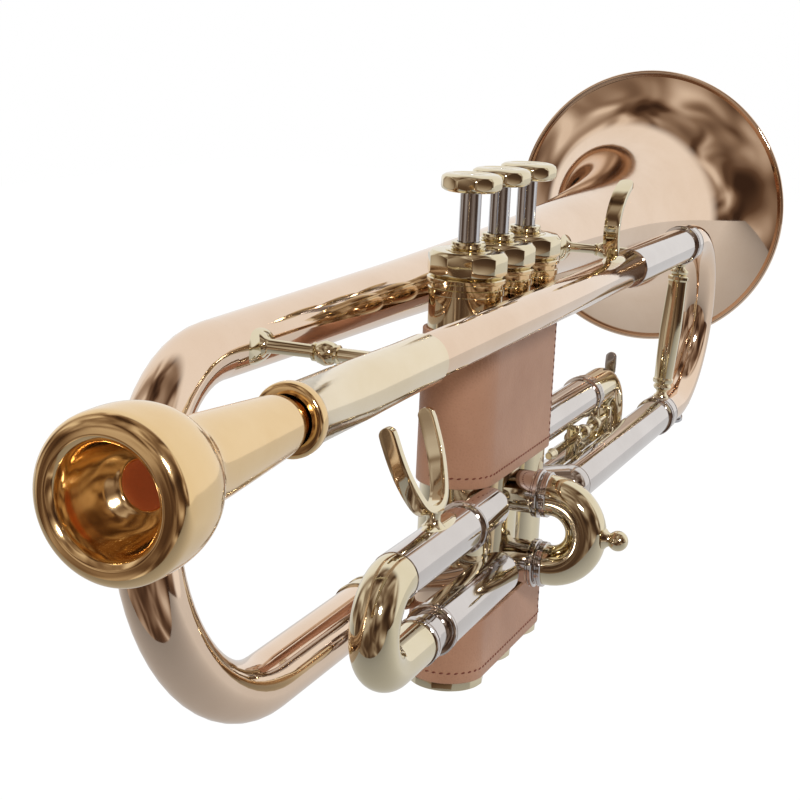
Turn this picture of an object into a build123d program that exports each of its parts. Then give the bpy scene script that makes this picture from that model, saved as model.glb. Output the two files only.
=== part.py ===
from build123d import *
import math
import os

# A B flat trumpet with three piston valves, in millimetres.
# X runs forward to the bell, Y to the player's left, Z up along the valves.
# The origin is on the second valve's axis, in the middle of the grip.
os.makedirs("parts", exist_ok=True)

# Valves
valve_spacing = 24.4
casing_r = 10.2
casing_bore_r = 8.9
casing_top = 56.0
casing_bottom = -55.4
piston_r = 8.86
piston_top = 12.0
piston_bottom = -41.0
barrel_r = 7.2
barrel_top = 48.0
guide_z = 14.5
stem_r = 2.95
cap_top = 67.0
bottom_cap_low = -61.0
button_low = 80.5
button_top = 85.6
button_r = 8.5
stroke = 13.3

# Tubes
sleeve_r = 6.3
sleeve_bore_r = 5.66
leg_r = 5.6
leg_bore_r = 5.1
ring_r = 7.15

# Leadpipe and the main tuning slide
lead_y, lead_z = -20.2, 50.0
lead_r = 5.5
low_y, low_z = -17.0, -13.5
upper_ring_x = 147.0
lower_ring_x = 141.5
bow_r = 6.1
bow_centre_x = 160.5

# Mouthpiece
rim_x = -238.3
receiver_back, receiver_front = -175.0, -105.0

# Bell
bell_y, bell_z = 26.3, 49.1
rim_r = 59.3
bell_front = 282.5
bow_x = -120.2
bow_end_x = -62.0
tail_y, tail_z = 10.4, -28.6
tail_r = 7.2
bell_wall = 0.6

# First valve slide, towards the player
s1_y, s1_up, s1_low = -12.0, -5.8, -28.2
s1_sleeve_back, s1_sleeve_front = -96.8, -49.1
s1_ring_x = -70.8
s1_ferrule_x = -81.6
s1_centre_x = -97.0

# Second valve slide, towards the player's right
s2_up, s2_low = -8.1, -29.4
s2_ring_y = -18.4
s2_centre_y = -21.6

# Third valve slide, forward
s3_y, s3_up, s3_low = -3.6, 2.5, -19.5
s3_ring_x = 88.0
s3_centre_x = 109.5

# Leather wrap
wrap_t = 1.2
wrap_top, wrap_split_top = 43.0, -0.5
wrap_split_low, wrap_low = -40.0, -57.7

saddle_lean = -20.0
rear_brace_x = -109.0

valves = {1: -valve_spacing, 2: 0.0, 3: valve_spacing}


def rod(r, a, b):
    """A solid bar of radius r from point a to point b."""
    a, b = Vector(*a), Vector(*b)
    plane = Plane(origin=a, z_dir=b - a)
    return plane * Cylinder(r, (b - a).length, align=(Align.CENTER, Align.CENTER, Align.MIN))


def tube(r, bore, a, b):
    """A tube from a to b, open at both ends."""
    a, b = Vector(*a), Vector(*b)
    over = (b - a).normalized() * 0.5
    return rod(r, tuple(a), tuple(b)) - rod(bore, tuple(a - over), tuple(b + over))


def ball(r, p):
    return Pos(*p) * Sphere(r)


def block(x0, x1, y0, y1, z0, z1):
    return Pos((x0 + x1) / 2, (y0 + y1) / 2, (z0 + z1) / 2) * Box(x1 - x0, y1 - y0, z1 - z0)


def turned(points, centre, direction):
    """A body turned about an axis: points are (distance along it, radius)."""
    outline = make_face(Polyline(*[(r, z) for z, r in points], close=True))
    shape = revolve(Plane.XZ * outline, Axis.Z)
    return Plane(origin=centre, z_dir=direction) * shape


def u_bow(r, bore, upper, lower, straight_up, straight_low, out):
    """A hollow U from upper to lower, bulging along out, with a straight piece on each leg."""
    upper, lower, out = Vector(*upper), Vector(*lower), Vector(*out)
    middle = (upper + lower) * 0.5
    apex = middle + out.normalized() * ((upper - lower).length / 2)
    start = upper - out.normalized() * straight_up
    end = lower - out.normalized() * straight_low
    path = Line(start, upper) + ThreePointArc(upper, apex, lower) + Line(lower, end)
    section = Plane(origin=start, z_dir=out) * (Circle(r) - Circle(bore))
    return sweep(section, path=path)


def strap(points, width, thick, centre):
    """A flat strip bent through points in the XZ plane, with round ends, as wide as width along Y."""
    line = Spline(*points)
    steps = [i / 48 for i in range(49)]
    left, right = [], []
    for t in steps:
        p, d = line @ t, (line % t).normalized()
        left.append((p.X - d.Y * thick / 2, p.Y + d.X * thick / 2))
        right.append((p.X + d.Y * thick / 2, p.Y - d.X * thick / 2))
    side, other = Spline(*left), Spline(*reversed(right))
    face = make_face(side + Line(side @ 1, other @ 0) + other + Line(other @ 1, side @ 0))
    shape = extrude(Plane.XZ * face, width / 2, both=True)
    for x, z in (points[0], points[-1]):
        shape = shape + rod(thick / 2, (x, -width / 2, z), (x, width / 2, z))
    return Pos(*centre) * shape


def leaf_foot(x, y, z, r, half_long, half_wide, direction):
    """A thin leaf-shaped plate bent round a tube along X, on the side that direction points to."""
    shell = rod(r + 1.0, (x - half_long, y, z), (x + half_long, y, z))
    shell = shell - rod(r, (x - half_long - 1, y, z), (x + half_long + 1, y, z))
    plane = Plane(origin=(x, y, z), x_dir=(1, 0, 0), z_dir=direction)
    return shell & (plane * extrude(Ellipse(half_long, half_wide), r + 2))


casings_solid = {n: rod(casing_r, (x, 0, casing_bottom), (x, 0, casing_top)) for n, x in valves.items()}


def outside_casings(shape):
    for body in casings_solid.values():
        shape = shape - body
    return shape


# ---- Mouthpiece and leadpipe ----
def make_mouthpiece():
    """A heavy-walled mouthpiece: rim, bowl and backbore in one, with the shank in the receiver."""
    outer = [(1.0, 13.8), (2.6, 14.35), (6.0, 14.45), (10.0, 14.3), (14.0, 13.7), (17.5, 12.4), (20.5, 10.5)]
    outer += [(22.8, 9.1), (25.5, 8.45), (33.0, 7.9), (48.0, 6.9), (59.5, 6.1), (61.0, 5.0), (63.0, 4.85), (71.5, 4.5)]
    bore = [(71.5, 3.8), (33.0, 2.3), (26.0, 2.3), (19.0, 3.7), (14.6, 4.1), (13.0, 5.3), (10.0, 7.3), (5.5, 8.8)]
    return turned([(0.0, 11.8)] + outer + bore + [(2.0, 9.3), (0.6, 9.8), (0.0, 10.7)],
                  (rim_x, lead_y, lead_z), (1, 0, 0))


def make_receiver():
    length = receiver_front - receiver_back
    outer = [(0, 6.9), (0.6, 7.5), (3.4, 7.5), (4.2, 6.7), (30, 6.5), (56, 6.1), (length, 6.1)]
    # The taper grips the mouthpiece shank, and the front half sits over the leadpipe.
    bore = [(length, lead_r), (40, lead_r), (40, 4.6), (8.4, 4.62), (0, 4.95)]
    return turned(outer + bore, (receiver_back, lead_y, lead_z), (1, 0, 0))


def make_leadpipe():
    return tube(lead_r, 4.8, (receiver_back + 40, lead_y, lead_z), (75.2, lead_y, lead_z))


def main_sleeve(back, front, y, z, plug):
    """A slide sleeve along X with a ring at its front end and a plug that joins it behind."""
    body = rod(sleeve_r, (back, y, z), (front, y, z)) + rod(ring_r, (front - 2.2, y, z), (front, y, z))
    body = body - rod(sleeve_bore_r, (back + plug, y, z), (front + 1, y, z))
    return body


def make_upper_sleeve():
    return main_sleeve(73.0, upper_ring_x, lead_y, lead_z, 8.0) - rod(lead_r, (65, lead_y, lead_z), (75.2, lead_y, lead_z))


def make_lower_sleeve():
    return main_sleeve(34.0, lower_ring_x, low_y, low_z, 14.0)


def make_valve_elbow():
    body = ball(6.2, (34.0, low_y, low_z)) + rod(6.0, (34.0, low_y, low_z), (24.4, -3.0, low_z))
    body = body - rod(sleeve_r, (34.0, low_y, low_z), (60, low_y, low_z))
    body = body - rod(sleeve_r + 0.05, (20, s3_y, s3_low), (70, s3_y, s3_low))
    return outside_casings(body)


# ---- Bell ----
def bell_radius(x):
    """The outline of the flare; the stem behind it keeps a slow taper."""
    d = bell_front - x
    return max(rim_r * (19.6 / (19.6 + d)) ** 0.7, 7.2)


def make_bell():
    xs = [bell_front - v for v in (0.2, 1.0, 3.0, 6.0, 10.0, 16.0, 24.0, 34.0, 48.0, 66.0, 88.0, 118.0, 138.0)]
    xs += [126.0, 116.0, 106.0, 80.0, 20.0, -50.0, -80.0, -99.0, -109.0, bow_x + 0.01]
    outer = [(x, bell_radius(x)) for x in xs]
    inner = [(x, r - bell_wall) for x, r in outer]
    edge = Spline(*[(r, x) for x, r in outer])
    back = Spline(*[(r, x) for x, r in reversed(inner)])
    close_low = Line(edge @ 1, back @ 0)
    close_top = Line(back @ 1, edge @ 0)
    shape = revolve(Plane.XZ * make_face(edge + close_low + back + close_top), Axis.Z)
    shape = Plane(origin=(0, bell_y, bell_z), z_dir=(1, 0, 0)) * shape
    bead = Plane(origin=(bell_front - 0.9, bell_y, bell_z), z_dir=(1, 0, 0)) * Torus(rim_r - 0.1, 1.0)
    return shape + bead


def make_bell_bow():
    """The bow runs on along the bottom to the ferrule near the first valve."""
    upper, lower = (bow_x, bell_y, bell_z), (bow_x, tail_y, tail_z)
    return u_bow(7.2, 6.6, upper, lower, 0.01, bow_end_x - bow_x, (-1, 0, 0))


def make_bell_tail():
    body = tube(tail_r, 6.6, (bow_end_x, tail_y, tail_z), (-44.0, tail_y, tail_z))
    turn = rod(tail_r, (-44.0, tail_y, tail_z), (-38.0, tail_y, tail_z)) + ball(tail_r, (-38.0, tail_y, tail_z))
    turn = turn + rod(6.8, (-38.0, tail_y, tail_z), (-24.4, 2.0, tail_z))
    ferrule = tube(7.8, 7.2, (bow_end_x - 4.0, tail_y, tail_z), (bow_end_x + 4.0, tail_y, tail_z))
    return outside_casings(body + turn + ferrule)


# ---- Valve casings ----
def port_rods(n):
    """The air passages between the valves, as solid bars to cut away."""
    x = valves[n]
    return [rod(5.0, (x, 0, z), (x, -20, z)) for z in (s2_up, s2_low)] if n == 2 else []


def make_casing(n):
    x = valves[n]
    body = tube(casing_r, casing_bore_r, (x, 0, casing_bottom), (x, 0, casing_top))
    for hole in port_rods(n):
        body = body - hole
    return body


def make_knuckle(n):
    """The pair of short tubes between one casing and the next."""
    x = (valves[n] + valves[n + 1]) / 2
    both = None
    for z in (2.0, -24.0) if n == 1 else (-2.0, -30.0):
        piece = rod(5.8, (x - 6, 0, z), (x + 6, 0, z))
        both = piece if both is None else both + piece
    web = block(x - 6, x + 6, -1.2, 1.2, -26, 0)
    return outside_casings(both + web)


def make_top_cap(n):
    x = valves[n]
    turned_part = turned(
        [
            (casing_top, 3.4), (casing_top, 11.2), (casing_top + 1.2, 11.2), (casing_top + 1.2, 10.6),
            (casing_top + 2.2, 10.6), (casing_top + 2.2, 11.2), (casing_top + 3.4, 11.2),
            (cap_top - 1.8, 11.0), (cap_top - 0.8, 9.8), (cap_top - 0.8, 6.6), (cap_top, 6.0), (cap_top, 3.4),
        ],
        (x, 0, 0),
        (0, 0, 1),
    )
    sides = turned_part & (Pos(x, 0, casing_top) * extrude(RegularPolygon(11.15, 10), cap_top - casing_top))
    collar = turned([(casing_top, 3.4), (casing_top, 10.9), (casing_top + 3.4, 10.9), (casing_top + 3.4, 3.4)],
                    (x, 0, 0), (0, 0, 1))
    return sides + (collar & turned_part)


def make_bottom_cap(n):
    x = valves[n]
    body = rod(11.1, (x, 0, bottom_cap_low), (x, 0, casing_bottom))
    body = body & (Pos(x, 0, bottom_cap_low) * extrude(RegularPolygon(11.2, 12), 6.0))
    body = body - rod(2.2, (x, 0, bottom_cap_low - 1), (x, 0, casing_bottom + 1))
    return body - rod(8.0, (x, 0, bottom_cap_low + 2.0), (x, 0, casing_bottom + 1))


def make_guide(n):
    """The cross bar keyed in the casing that keeps the piston from turning."""
    x = valves[n]
    bar = block(x - casing_bore_r, x + casing_bore_r, -1.8, 1.8, guide_z, guide_z + 2)
    bar = bar & rod(casing_bore_r, (x, 0, guide_z - 1), (x, 0, guide_z + 3))
    return bar - rod(1.4, (x, 0, guide_z - 1), (x, 0, guide_z + 3))


# ---- Pistons ----
def make_piston(n):
    x = valves[n]
    body = tube(piston_r, piston_r - 1.0, (x, 0, piston_bottom), (x, 0, piston_top))
    body = body + rod(piston_r, (x, 0, piston_top - 1.5), (x, 0, piston_top))
    body = body + rod(piston_r, (x, 0, piston_bottom), (x, 0, piston_bottom + 1.5))
    for z, turn in ((-31.0, 20), (-20.0, 100), (-9.0, 60), (1.5, 160)):
        body = body - Pos(x, 0, z) * Rot(0, 90, turn) * Cylinder(4.6, 30)
        body = body + Pos(x, 0, z) * Rot(0, 90, turn) * (Cylinder(5.2, 2 * piston_r - 3.2) - Cylinder(4.6, 30))
    body = body & rod(piston_r, (x, 0, piston_bottom), (x, 0, piston_top))
    barrel = tube(barrel_r, barrel_r - 0.8, (x, 0, piston_top), (x, 0, barrel_top))
    slot = block(x - 12, x + 12, -2.1, 2.1, guide_z - 0.4, guide_z + 2 + stroke + 0.7)
    return body + (barrel - slot)


def make_stem(n):
    """The stem with its button: a cup-shaped head over a felt washer."""
    x = valves[n]
    plug = rod(barrel_r, (x, 0, barrel_top), (x, 0, barrel_top + 2.4))
    stem = rod(stem_r, (x, 0, barrel_top + 2), (x, 0, button_low + 1))
    button = turned(
        [(button_low, 0), (button_low, 7.2), (button_low + 1.4, button_r), (button_low + 4.4, button_r),
         (button_top - 0.5, 7.6), (button_top, 6.8), (button_top - 0.5, 0)],
        (x, 0, 0), (0, 0, 1),
    )
    return plug + stem + button


def make_spring(n):
    x = valves[n]
    low, high, wire = guide_z + 2.0, barrel_top, 0.45
    coil = Helix(pitch=(high - low - 2 * wire) / 7, height=high - low - 2 * wire, radius=4.6)
    path = Pos(x, 0, low + wire) * coil
    section = Plane(origin=path @ 0, z_dir=path % 0) * Circle(wire)
    return sweep(section, path=path)


# ---- Valve slides ----
def make_s1_inner():
    """The fixed upper tube of the first slide, closed against the first casing."""
    body = tube(leg_r, leg_bore_r, (-95.0, s1_y, s1_up), (-40.0, s1_y, s1_up))
    body = body + rod(leg_r, (-40.5, s1_y, s1_up), (-29.0, s1_y, s1_up)) + ball(leg_r, (-29.0, s1_y, s1_up))
    body = body + rod(5.0, (-29.0, s1_y, s1_up), (-24.4, -4.0, s1_up))
    return outside_casings(body)


def make_s1_sleeve():
    """The fixed lower sleeve of the first slide, closed against the first casing."""
    body = rod(sleeve_r, (s1_ring_x, s1_y, s1_low), (-19.0, s1_y, s1_low)) + ball(sleeve_r, (-19.0, s1_y, s1_low))
    body = body + rod(ring_r, (s1_ring_x, s1_y, s1_low), (s1_ring_x + 2.2, s1_y, s1_low))
    body = body - rod(sleeve_bore_r, (s1_ring_x - 1, s1_y, s1_low), (-37.5, s1_y, s1_low))
    return outside_casings(body)


def make_s1_outer():
    """The moving upper sleeve of the first slide."""
    body = rod(sleeve_r, (s1_sleeve_back, s1_y, s1_up), (s1_sleeve_front, s1_y, s1_up))
    body = body + rod(ring_r, (s1_sleeve_front - 2.2, s1_y, s1_up), (s1_sleeve_front, s1_y, s1_up))
    return body - rod(sleeve_bore_r, (s1_sleeve_back - 1, s1_y, s1_up), (s1_sleeve_front + 1, s1_y, s1_up))


def make_s1_leg():
    """The moving lower leg of the first slide, with the ferrule that joins it to the bow."""
    body = tube(leg_r, leg_bore_r, (s1_ferrule_x - 2, s1_y, s1_low), (-39.0, s1_y, s1_low))
    ferrule = tube(6.5, leg_r, (s1_ferrule_x, s1_y, s1_low), (s1_ferrule_x + 3.0, s1_y, s1_low))
    return body + ferrule - rod(7, (s1_ferrule_x - 3, s1_y, s1_low), (s1_ferrule_x, s1_y, s1_low))


def make_s1_bow():
    return u_bow(6.1, leg_bore_r, (s1_centre_x, s1_y, s1_up), (s1_centre_x, s1_y, s1_low),
                 s1_sleeve_back - s1_centre_x, s1_ferrule_x - s1_centre_x, (-1, 0, 0))


def make_thumb_saddle():
    """A U of flat strap on a short post, leaning to the thumb's side."""
    half, high, x = 12.8, 25.8, -72.4
    outline = [(-half, high), (-half + 0.5, high - 9), (-half + 2.4, 10), (-6.2, 3.4), (0, 1.2),
               (6.2, 3.4), (half - 2.4, 10), (half - 0.5, high - 9), (half, high)]
    shape = Rot(saddle_lean, 0, 0) * strap(outline, 5.4, 2.2, (0, 0, 0))
    shape = Pos(x, s1_y, s1_up + sleeve_r + 3.0) * shape
    post = rod(1.8, (x, s1_y, s1_up + sleeve_r + 0.2), (x, s1_y, s1_up + sleeve_r + 4.2))
    return shape + post + leaf_foot(x + 4, s1_y, s1_up, sleeve_r, 10.0, 3.4, (0, 0, 1))


def make_s2_sleeve(z):
    """A fixed sleeve of the second slide, out of the side of the second casing."""
    body = rod(sleeve_r, (0, -6, z), (0, s2_ring_y, z))
    body = body + rod(ring_r, (0, s2_ring_y + 2.0, z), (0, s2_ring_y, z))
    return outside_casings(body - rod(sleeve_bore_r, (0, -5, z), (0, s2_ring_y - 1, z)))


def make_s2_bow():
    """The second slide's bow with its two legs."""
    y = s2_ring_y - 0.8
    run = y - s2_centre_y
    body = u_bow(6.0, leg_bore_r, (0, s2_centre_y, s2_up), (0, s2_centre_y, s2_low), run, run, (0, -1, 0))
    for z in (s2_up, s2_low):
        body = body + tube(leg_r, leg_bore_r, (0, -10.8, z), (0, y, z))
        body = body + tube(ring_r - 0.35, leg_r - 0.3, (0, y, z), (0, y - 1.4, z))
    return body


def s2_outer_y():
    return s2_centre_y - (s2_up - s2_low) / 2 - 6.0


def make_s2_knob():
    y, z = s2_outer_y(), (s2_up + s2_low) / 2
    body = turned([(-1.2, 0), (-1.2, 2.8), (0.4, 2.6), (0.8, 1.9), (1.6, 1.9), (1.6, 0)], (0, y, z), (0, -1, 0))
    body = body + ball(3.0, (0, y - 3.6, z))
    return body - make_s2_bow_solid()


def make_s2_bow_solid():
    centre = (0, s2_centre_y, (s2_up + s2_low) / 2)
    return Plane(origin=centre, z_dir=(1, 0, 0)) * Torus((s2_up - s2_low) / 2, 6.0)


def make_s3_sleeve(z):
    """A fixed sleeve of the third slide, out of the front of the third casing."""
    body = rod(sleeve_r, (26.0, s3_y, z), (s3_ring_x, s3_y, z))
    body = body + rod(ring_r, (s3_ring_x - 2.2, s3_y, z), (s3_ring_x, s3_y, z))
    return outside_casings(body - rod(sleeve_bore_r, (36.0, s3_y, z), (s3_ring_x + 1, s3_y, z)))


def make_s3_bow():
    """The third slide's bow with its two legs and the end nut on its front."""
    x = s3_ring_x + 0.8
    body = u_bow(6.0, leg_bore_r, (s3_centre_x, s3_y, s3_up), (s3_centre_x, s3_y, s3_low),
                 s3_centre_x - x, s3_centre_x - x, (1, 0, 0))
    for z in (s3_up, s3_low):
        body = body + tube(leg_r, leg_bore_r, (46.0, s3_y, z), (x + 0.5, s3_y, z))
        body = body + tube(6.8, leg_r + 0.2, (x, s3_y, z), (x + 3.0, s3_y, z))
    front = s3_centre_x + (s3_up - s3_low) / 2 + 6.0
    return body + turned([(-0.6, 0), (-0.6, 1.6), (0.5, 1.6), (0.5, 2.8), (2.6, 2.8), (3.0, 2.4), (3.0, 0)],
                         (front, s3_y, (s3_up + s3_low) / 2), (1, 0, 0))


def make_s3_hook():
    """The grey finger blade that stands on the bow of the third slide."""
    low, high, half = 0.5, 11.1, 1.9
    blade = block(121.8, 123.4, s3_y - half, s3_y + half, low, high)
    blade = blade + Pos(122.6, s3_y, high) * Rot(0, 90, 0) * Cylinder(half, 1.6)
    foot = block(119.0, 123.4, s3_y - half, s3_y + half, low, 5.0)
    return blade + foot - make_s3_solid()


rod_y, rod_z = s3_y - 5.0, -6.3
lug_x = 61.5


def make_stop_rod():
    """The rod that stops the third slide: a nut behind the lug, two ball nuts before it, and its arm."""
    outline = [(0.0, 0), (0.0, 1.2)]
    for x, r in ((4.0, 2.2), (38.0, 2.5), (51.0, 2.5)):
        reach = math.degrees(math.acos(1.2 / r))
        angles = [math.radians(reach * k / 6) for k in range(-6, 7)]
        outline += [(x + r * math.sin(a), r * math.cos(a)) for a in angles]
    outline += [(65.0, 1.2), (65.0, 0)]
    body = turned(outline, (36.0, rod_y, rod_z), (1, 0, 0))
    arm = block(100.0, 102.6, rod_y - 2.0, rod_y + 2.0, s3_low + 4, s3_up - 4)
    for z in (s3_up, s3_low):
        arm = arm - rod(6.0, (95, s3_y, z), (s3_centre_x, s3_y, z))
    return body + arm


def make_s3_solid():
    """The outside of the third slide's bow, to cut away from what sits on it."""
    middle = Plane(origin=(s3_centre_x, s3_y, (s3_up + s3_low) / 2), z_dir=(0, 1, 0))
    legs = [rod(6.0, (90, s3_y, z), (s3_centre_x, s3_y, z)) for z in (s3_up, s3_low)]
    return middle * Torus((s3_up - s3_low) / 2, 6.0) + legs[0] + legs[1]


def make_s3_lug():
    """The fixed lug on the sleeves that the stop rod runs through."""
    body = block(lug_x, lug_x + 1.6, rod_y - 2.2, rod_y + 2.2, s3_low, s3_up)
    body = body - rod(1.35, (50, rod_y, rod_z), (70, rod_y, rod_z))
    for z in (s3_up, s3_low):
        body = body - rod(sleeve_r, (50, s3_y, z), (70, s3_y, z))
    return body - rod(sleeve_r + 0.3, (50, low_y, low_z), (70, low_y, low_z))


# ---- Main tuning slide ----
def make_tuning_bow():
    upper, lower = (bow_centre_x, lead_y, lead_z), (bow_centre_x, low_y, low_z)
    up, low = bow_centre_x - upper_ring_x - 7.4, bow_centre_x - lower_ring_x - 7.4
    p, d = water_key_frame()
    nipple = turned([(5.5, 1.4), (5.5, 3.2), (8.4, 2.6), (8.4, 1.4)], tuple(p), tuple(d))
    return u_bow(bow_r, 5.3, upper, lower, up, low, (1, 0, 0)) + nipple


def make_tuning_leg(ring_x, y, z):
    """One inner leg of the tuning slide, with the ferrule that the bow is soldered in."""
    body = tube(leg_r, leg_bore_r, (ring_x - 42.0, y, z), (ring_x + 7.4, y, z))
    return body + tube(6.9, leg_r - 0.3, (ring_x + 1.0, y, z), (ring_x + 7.4, y, z))


brace_top = (upper_ring_x + 4.0, lead_y, lead_z)
brace_low = (lower_ring_x + 4.5, low_y, low_z)


def make_tuning_brace():
    """The fluted column between the two legs, on a ball and a neck at each end."""
    top, low = Vector(*brace_top), Vector(*brace_low)
    axis = (low - top).normalized()
    length = (low - top).length
    outline = [(6.3, 0), (6.3, 2.7), (7.6, 2.4), (8.6, 1.9), (9.6, 3.0), (10.4, 3.4), (11.4, 3.0), (12.0, 3.2)]
    outline += [(13.0, 3.5), (20.0, 3.8), (length / 2, 4.1), (length - 20.0, 3.8), (length - 13.0, 3.5)]
    outline += [(length - 12.0, 3.2), (length - 11.4, 3.0), (length - 10.4, 3.4), (length - 9.6, 3.0)]
    outline += [(length - 8.6, 1.9), (length - 7.6, 2.4), (length - 6.3, 2.7), (length - 6.3, 0)]
    body = turned(outline, brace_top, tuple(axis))
    body = body - rod(6.9, (upper_ring_x, lead_y, lead_z), (upper_ring_x + 12, lead_y, lead_z))
    return body - rod(6.9, (lower_ring_x, low_y, low_z), (lower_ring_x + 12, low_y, low_z))


def bow_point(angle):
    """A point on the tuning bow's centre line, 0 at the top and 180 at the bottom."""
    upper, lower = Vector(bow_centre_x, lead_y, lead_z), Vector(bow_centre_x, low_y, low_z)
    middle, arm = (upper + lower) * 0.5, (upper - lower) * 0.5
    a = math.radians(angle)
    return middle + arm * math.cos(a) + Vector(arm.length, 0, 0) * math.sin(a)


def bow_outward(angle):
    middle = Vector(bow_centre_x, (lead_y + low_y) / 2, (lead_z + low_z) / 2)
    return (bow_point(angle) - middle).normalized()


def bow_solid():
    middle = Vector(bow_centre_x, (lead_y + low_y) / 2, (lead_z + low_z) / 2)
    arm = Vector(0, lead_y - low_y, lead_z - low_z)
    plane = Plane(origin=middle, x_dir=(1, 0, 0), z_dir=Vector(1, 0, 0).cross(arm))
    return plane * Torus(arm.length / 2, bow_r)


def make_knurled_knob():
    """A small knurled knob on a neck, on the front of the bow."""
    p, d = bow_point(122), bow_outward(122)
    body = turned([(5.0, 0), (5.0, 1.5), (8.6, 1.5), (8.6, 2.6), (9.2, 3.1), (12.6, 3.1), (13.2, 2.5), (13.2, 0)],
                  tuple(p), tuple(d))
    return body - bow_solid()


def water_key_frame():
    p, d = bow_point(158), bow_outward(158)
    return p, d


def make_key_saddle():
    """The two cheeks on the bow that the water key turns in, with the pin."""
    p, d = water_key_frame()
    back = p + (bow_point(140) - bow_point(158)) * 0.62
    out = bow_outward(146.8)
    cheeks = None
    side = Vector(0, 1, 0)
    for sign in (-1, 1):
        foot = tuple(back + out * 4.6 + side * (2.6 * sign))
        tip = tuple(back + out * 10.0 + side * (2.6 * sign))
        cheek = rod(1.0, foot, tip)
        cheeks = cheek if cheeks is None else cheeks + cheek
    pin = rod(0.55, tuple(back + out * 9.0 - side * 3.6), tuple(back + out * 9.0 + side * 3.6))
    return cheeks + pin - bow_solid()


def key_pivot():
    p, _ = water_key_frame()
    back = p + (bow_point(140) - bow_point(158)) * 0.62
    return back + bow_outward(146.8) * 9.0


def make_water_key():
    """The lever of the water key with its cork, turning on the saddle's pin."""
    p, d = water_key_frame()
    pivot = key_pivot()
    cork = rod(2.6, tuple(p + d * 8.5), tuple(p + d * 10.2))
    head = rod(3.0, tuple(p + d * 10.2), tuple(p + d * 11.4))
    arm = rod(1.1, tuple(p + d * 10.8), tuple(pivot + bow_outward(146.8) * 0.9))
    hub = rod(1.3, tuple(pivot - Vector(0, 1.4, 0)), tuple(pivot + Vector(0, 1.4, 0)))
    tail_dir = (bow_point(120) - bow_point(150)).normalized()
    tail_end = pivot + tail_dir * 12 + bow_outward(135) * 2.6
    lever = rod(1.0, tuple(pivot + bow_outward(146.8) * 0.9), tuple(tail_end)) + ball(2.0, tuple(tail_end))
    body = cork + head + arm + hub + lever
    return body - rod(0.6, tuple(pivot - Vector(0, 4, 0)), tuple(pivot + Vector(0, 4, 0)))


# ---- Braces, hook and leather ----
def bell_to_pipe_brace(x, pipe_r, bell_r):
    """A short brace with a leaf foot on the bell and another on the pipe."""
    start, end = bell_y - bell_r - 0.4, lead_y + pipe_r + 0.4
    z = (bell_z + lead_z) / 2
    body = rod(1.7, (x, start, z), (x, end, z)) + ball(2.9, (x, (start + end) / 2, z))
    body = body + leaf_foot(x, lead_y, lead_z, pipe_r, 7.0, 4.4, (0, 1, 0))
    return body + leaf_foot(x, bell_y, bell_z, bell_r, 7.0, 5.0, (0, -1, 0))


def make_front_brace():
    """Its foot on the bell follows the taper there."""
    x = 116.0
    gap_end = bell_y - bell_radius(x)
    body = bell_to_pipe_brace(x, sleeve_r, bell_radius(x))
    return outside_bell(body + rod(4.0, (x, gap_end - 1.2, bell_z), (x, gap_end + 0.8, bell_z)), x)


def outside_bell(shape, x):
    spots = [x - 10.0, x, x + 10.0]
    outline = [(spots[0], 0)] + [(v, bell_radius(v) + 0.005) for v in spots] + [(spots[-1], 0)]
    return shape - turned(outline, (0, bell_y, bell_z), (1, 0, 0))


def make_rear_brace():
    body = bell_to_pipe_brace(rear_brace_x, receiver_radius(rear_brace_x), bell_radius(rear_brace_x))
    cone = turned([(-99.0, 0), (-99.0, bell_radius(-99.0) + 0.01), (bow_x, 7.21), (bow_x, 0)],
                  (0, bell_y, bell_z), (1, 0, 0))
    return body - cone


def receiver_radius(x):
    """The receiver is a plain cylinder where the rear brace sits on it."""
    return 6.1


def make_pinky_hook():
    points = [(52.0, 6.55), (49.6, 10.0), (49.0, 15.0), (51.6, 21.0), (57.0, 25.6), (64.0, 28.6)]
    shape = strap(points, 4.7, 2.0, (0, lead_y, lead_z))
    return shape + leaf_foot(54.0, lead_y, lead_z, lead_r, 9.0, 3.2, (0, 0, 1))


def stadium(r, z0, z1):
    """A bar with round ends, standing round all three valves."""
    body = block(valves[1], valves[3], -r, r, z0, z1)
    for x in (valves[1], valves[3]):
        body = body + rod(r, (x, 0, z0), (x, 0, z1))
    return body


def make_leather():
    outer_r = casing_r + wrap_t
    shape = stadium(outer_r, wrap_low, wrap_top) - stadium(casing_r, wrap_low - 1, wrap_top + 1)
    window = block(-60, 60, -20, 6.0, wrap_split_low, wrap_split_top)
    window = window + block(-60, -8, 5.0, 20, wrap_split_low, wrap_split_top)
    window = window + block(30, 60, 5.0, 20, wrap_split_low, wrap_split_top)
    shape = shape - window
    shape = shape - rod(sleeve_r + 0.5, (20, s3_y, s3_up), (60, s3_y, s3_up))
    shape = shape - rod(leg_r + 0.5, (-60, s1_y, s1_up), (-10, s1_y, s1_up))
    shape = shape - stadium(casing_r, casing_bottom, casing_top)
    for n in valves:
        shape = shape - rod(11.3, (valves[n], 0, bottom_cap_low), (valves[n], 0, casing_bottom))
    return shape


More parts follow.
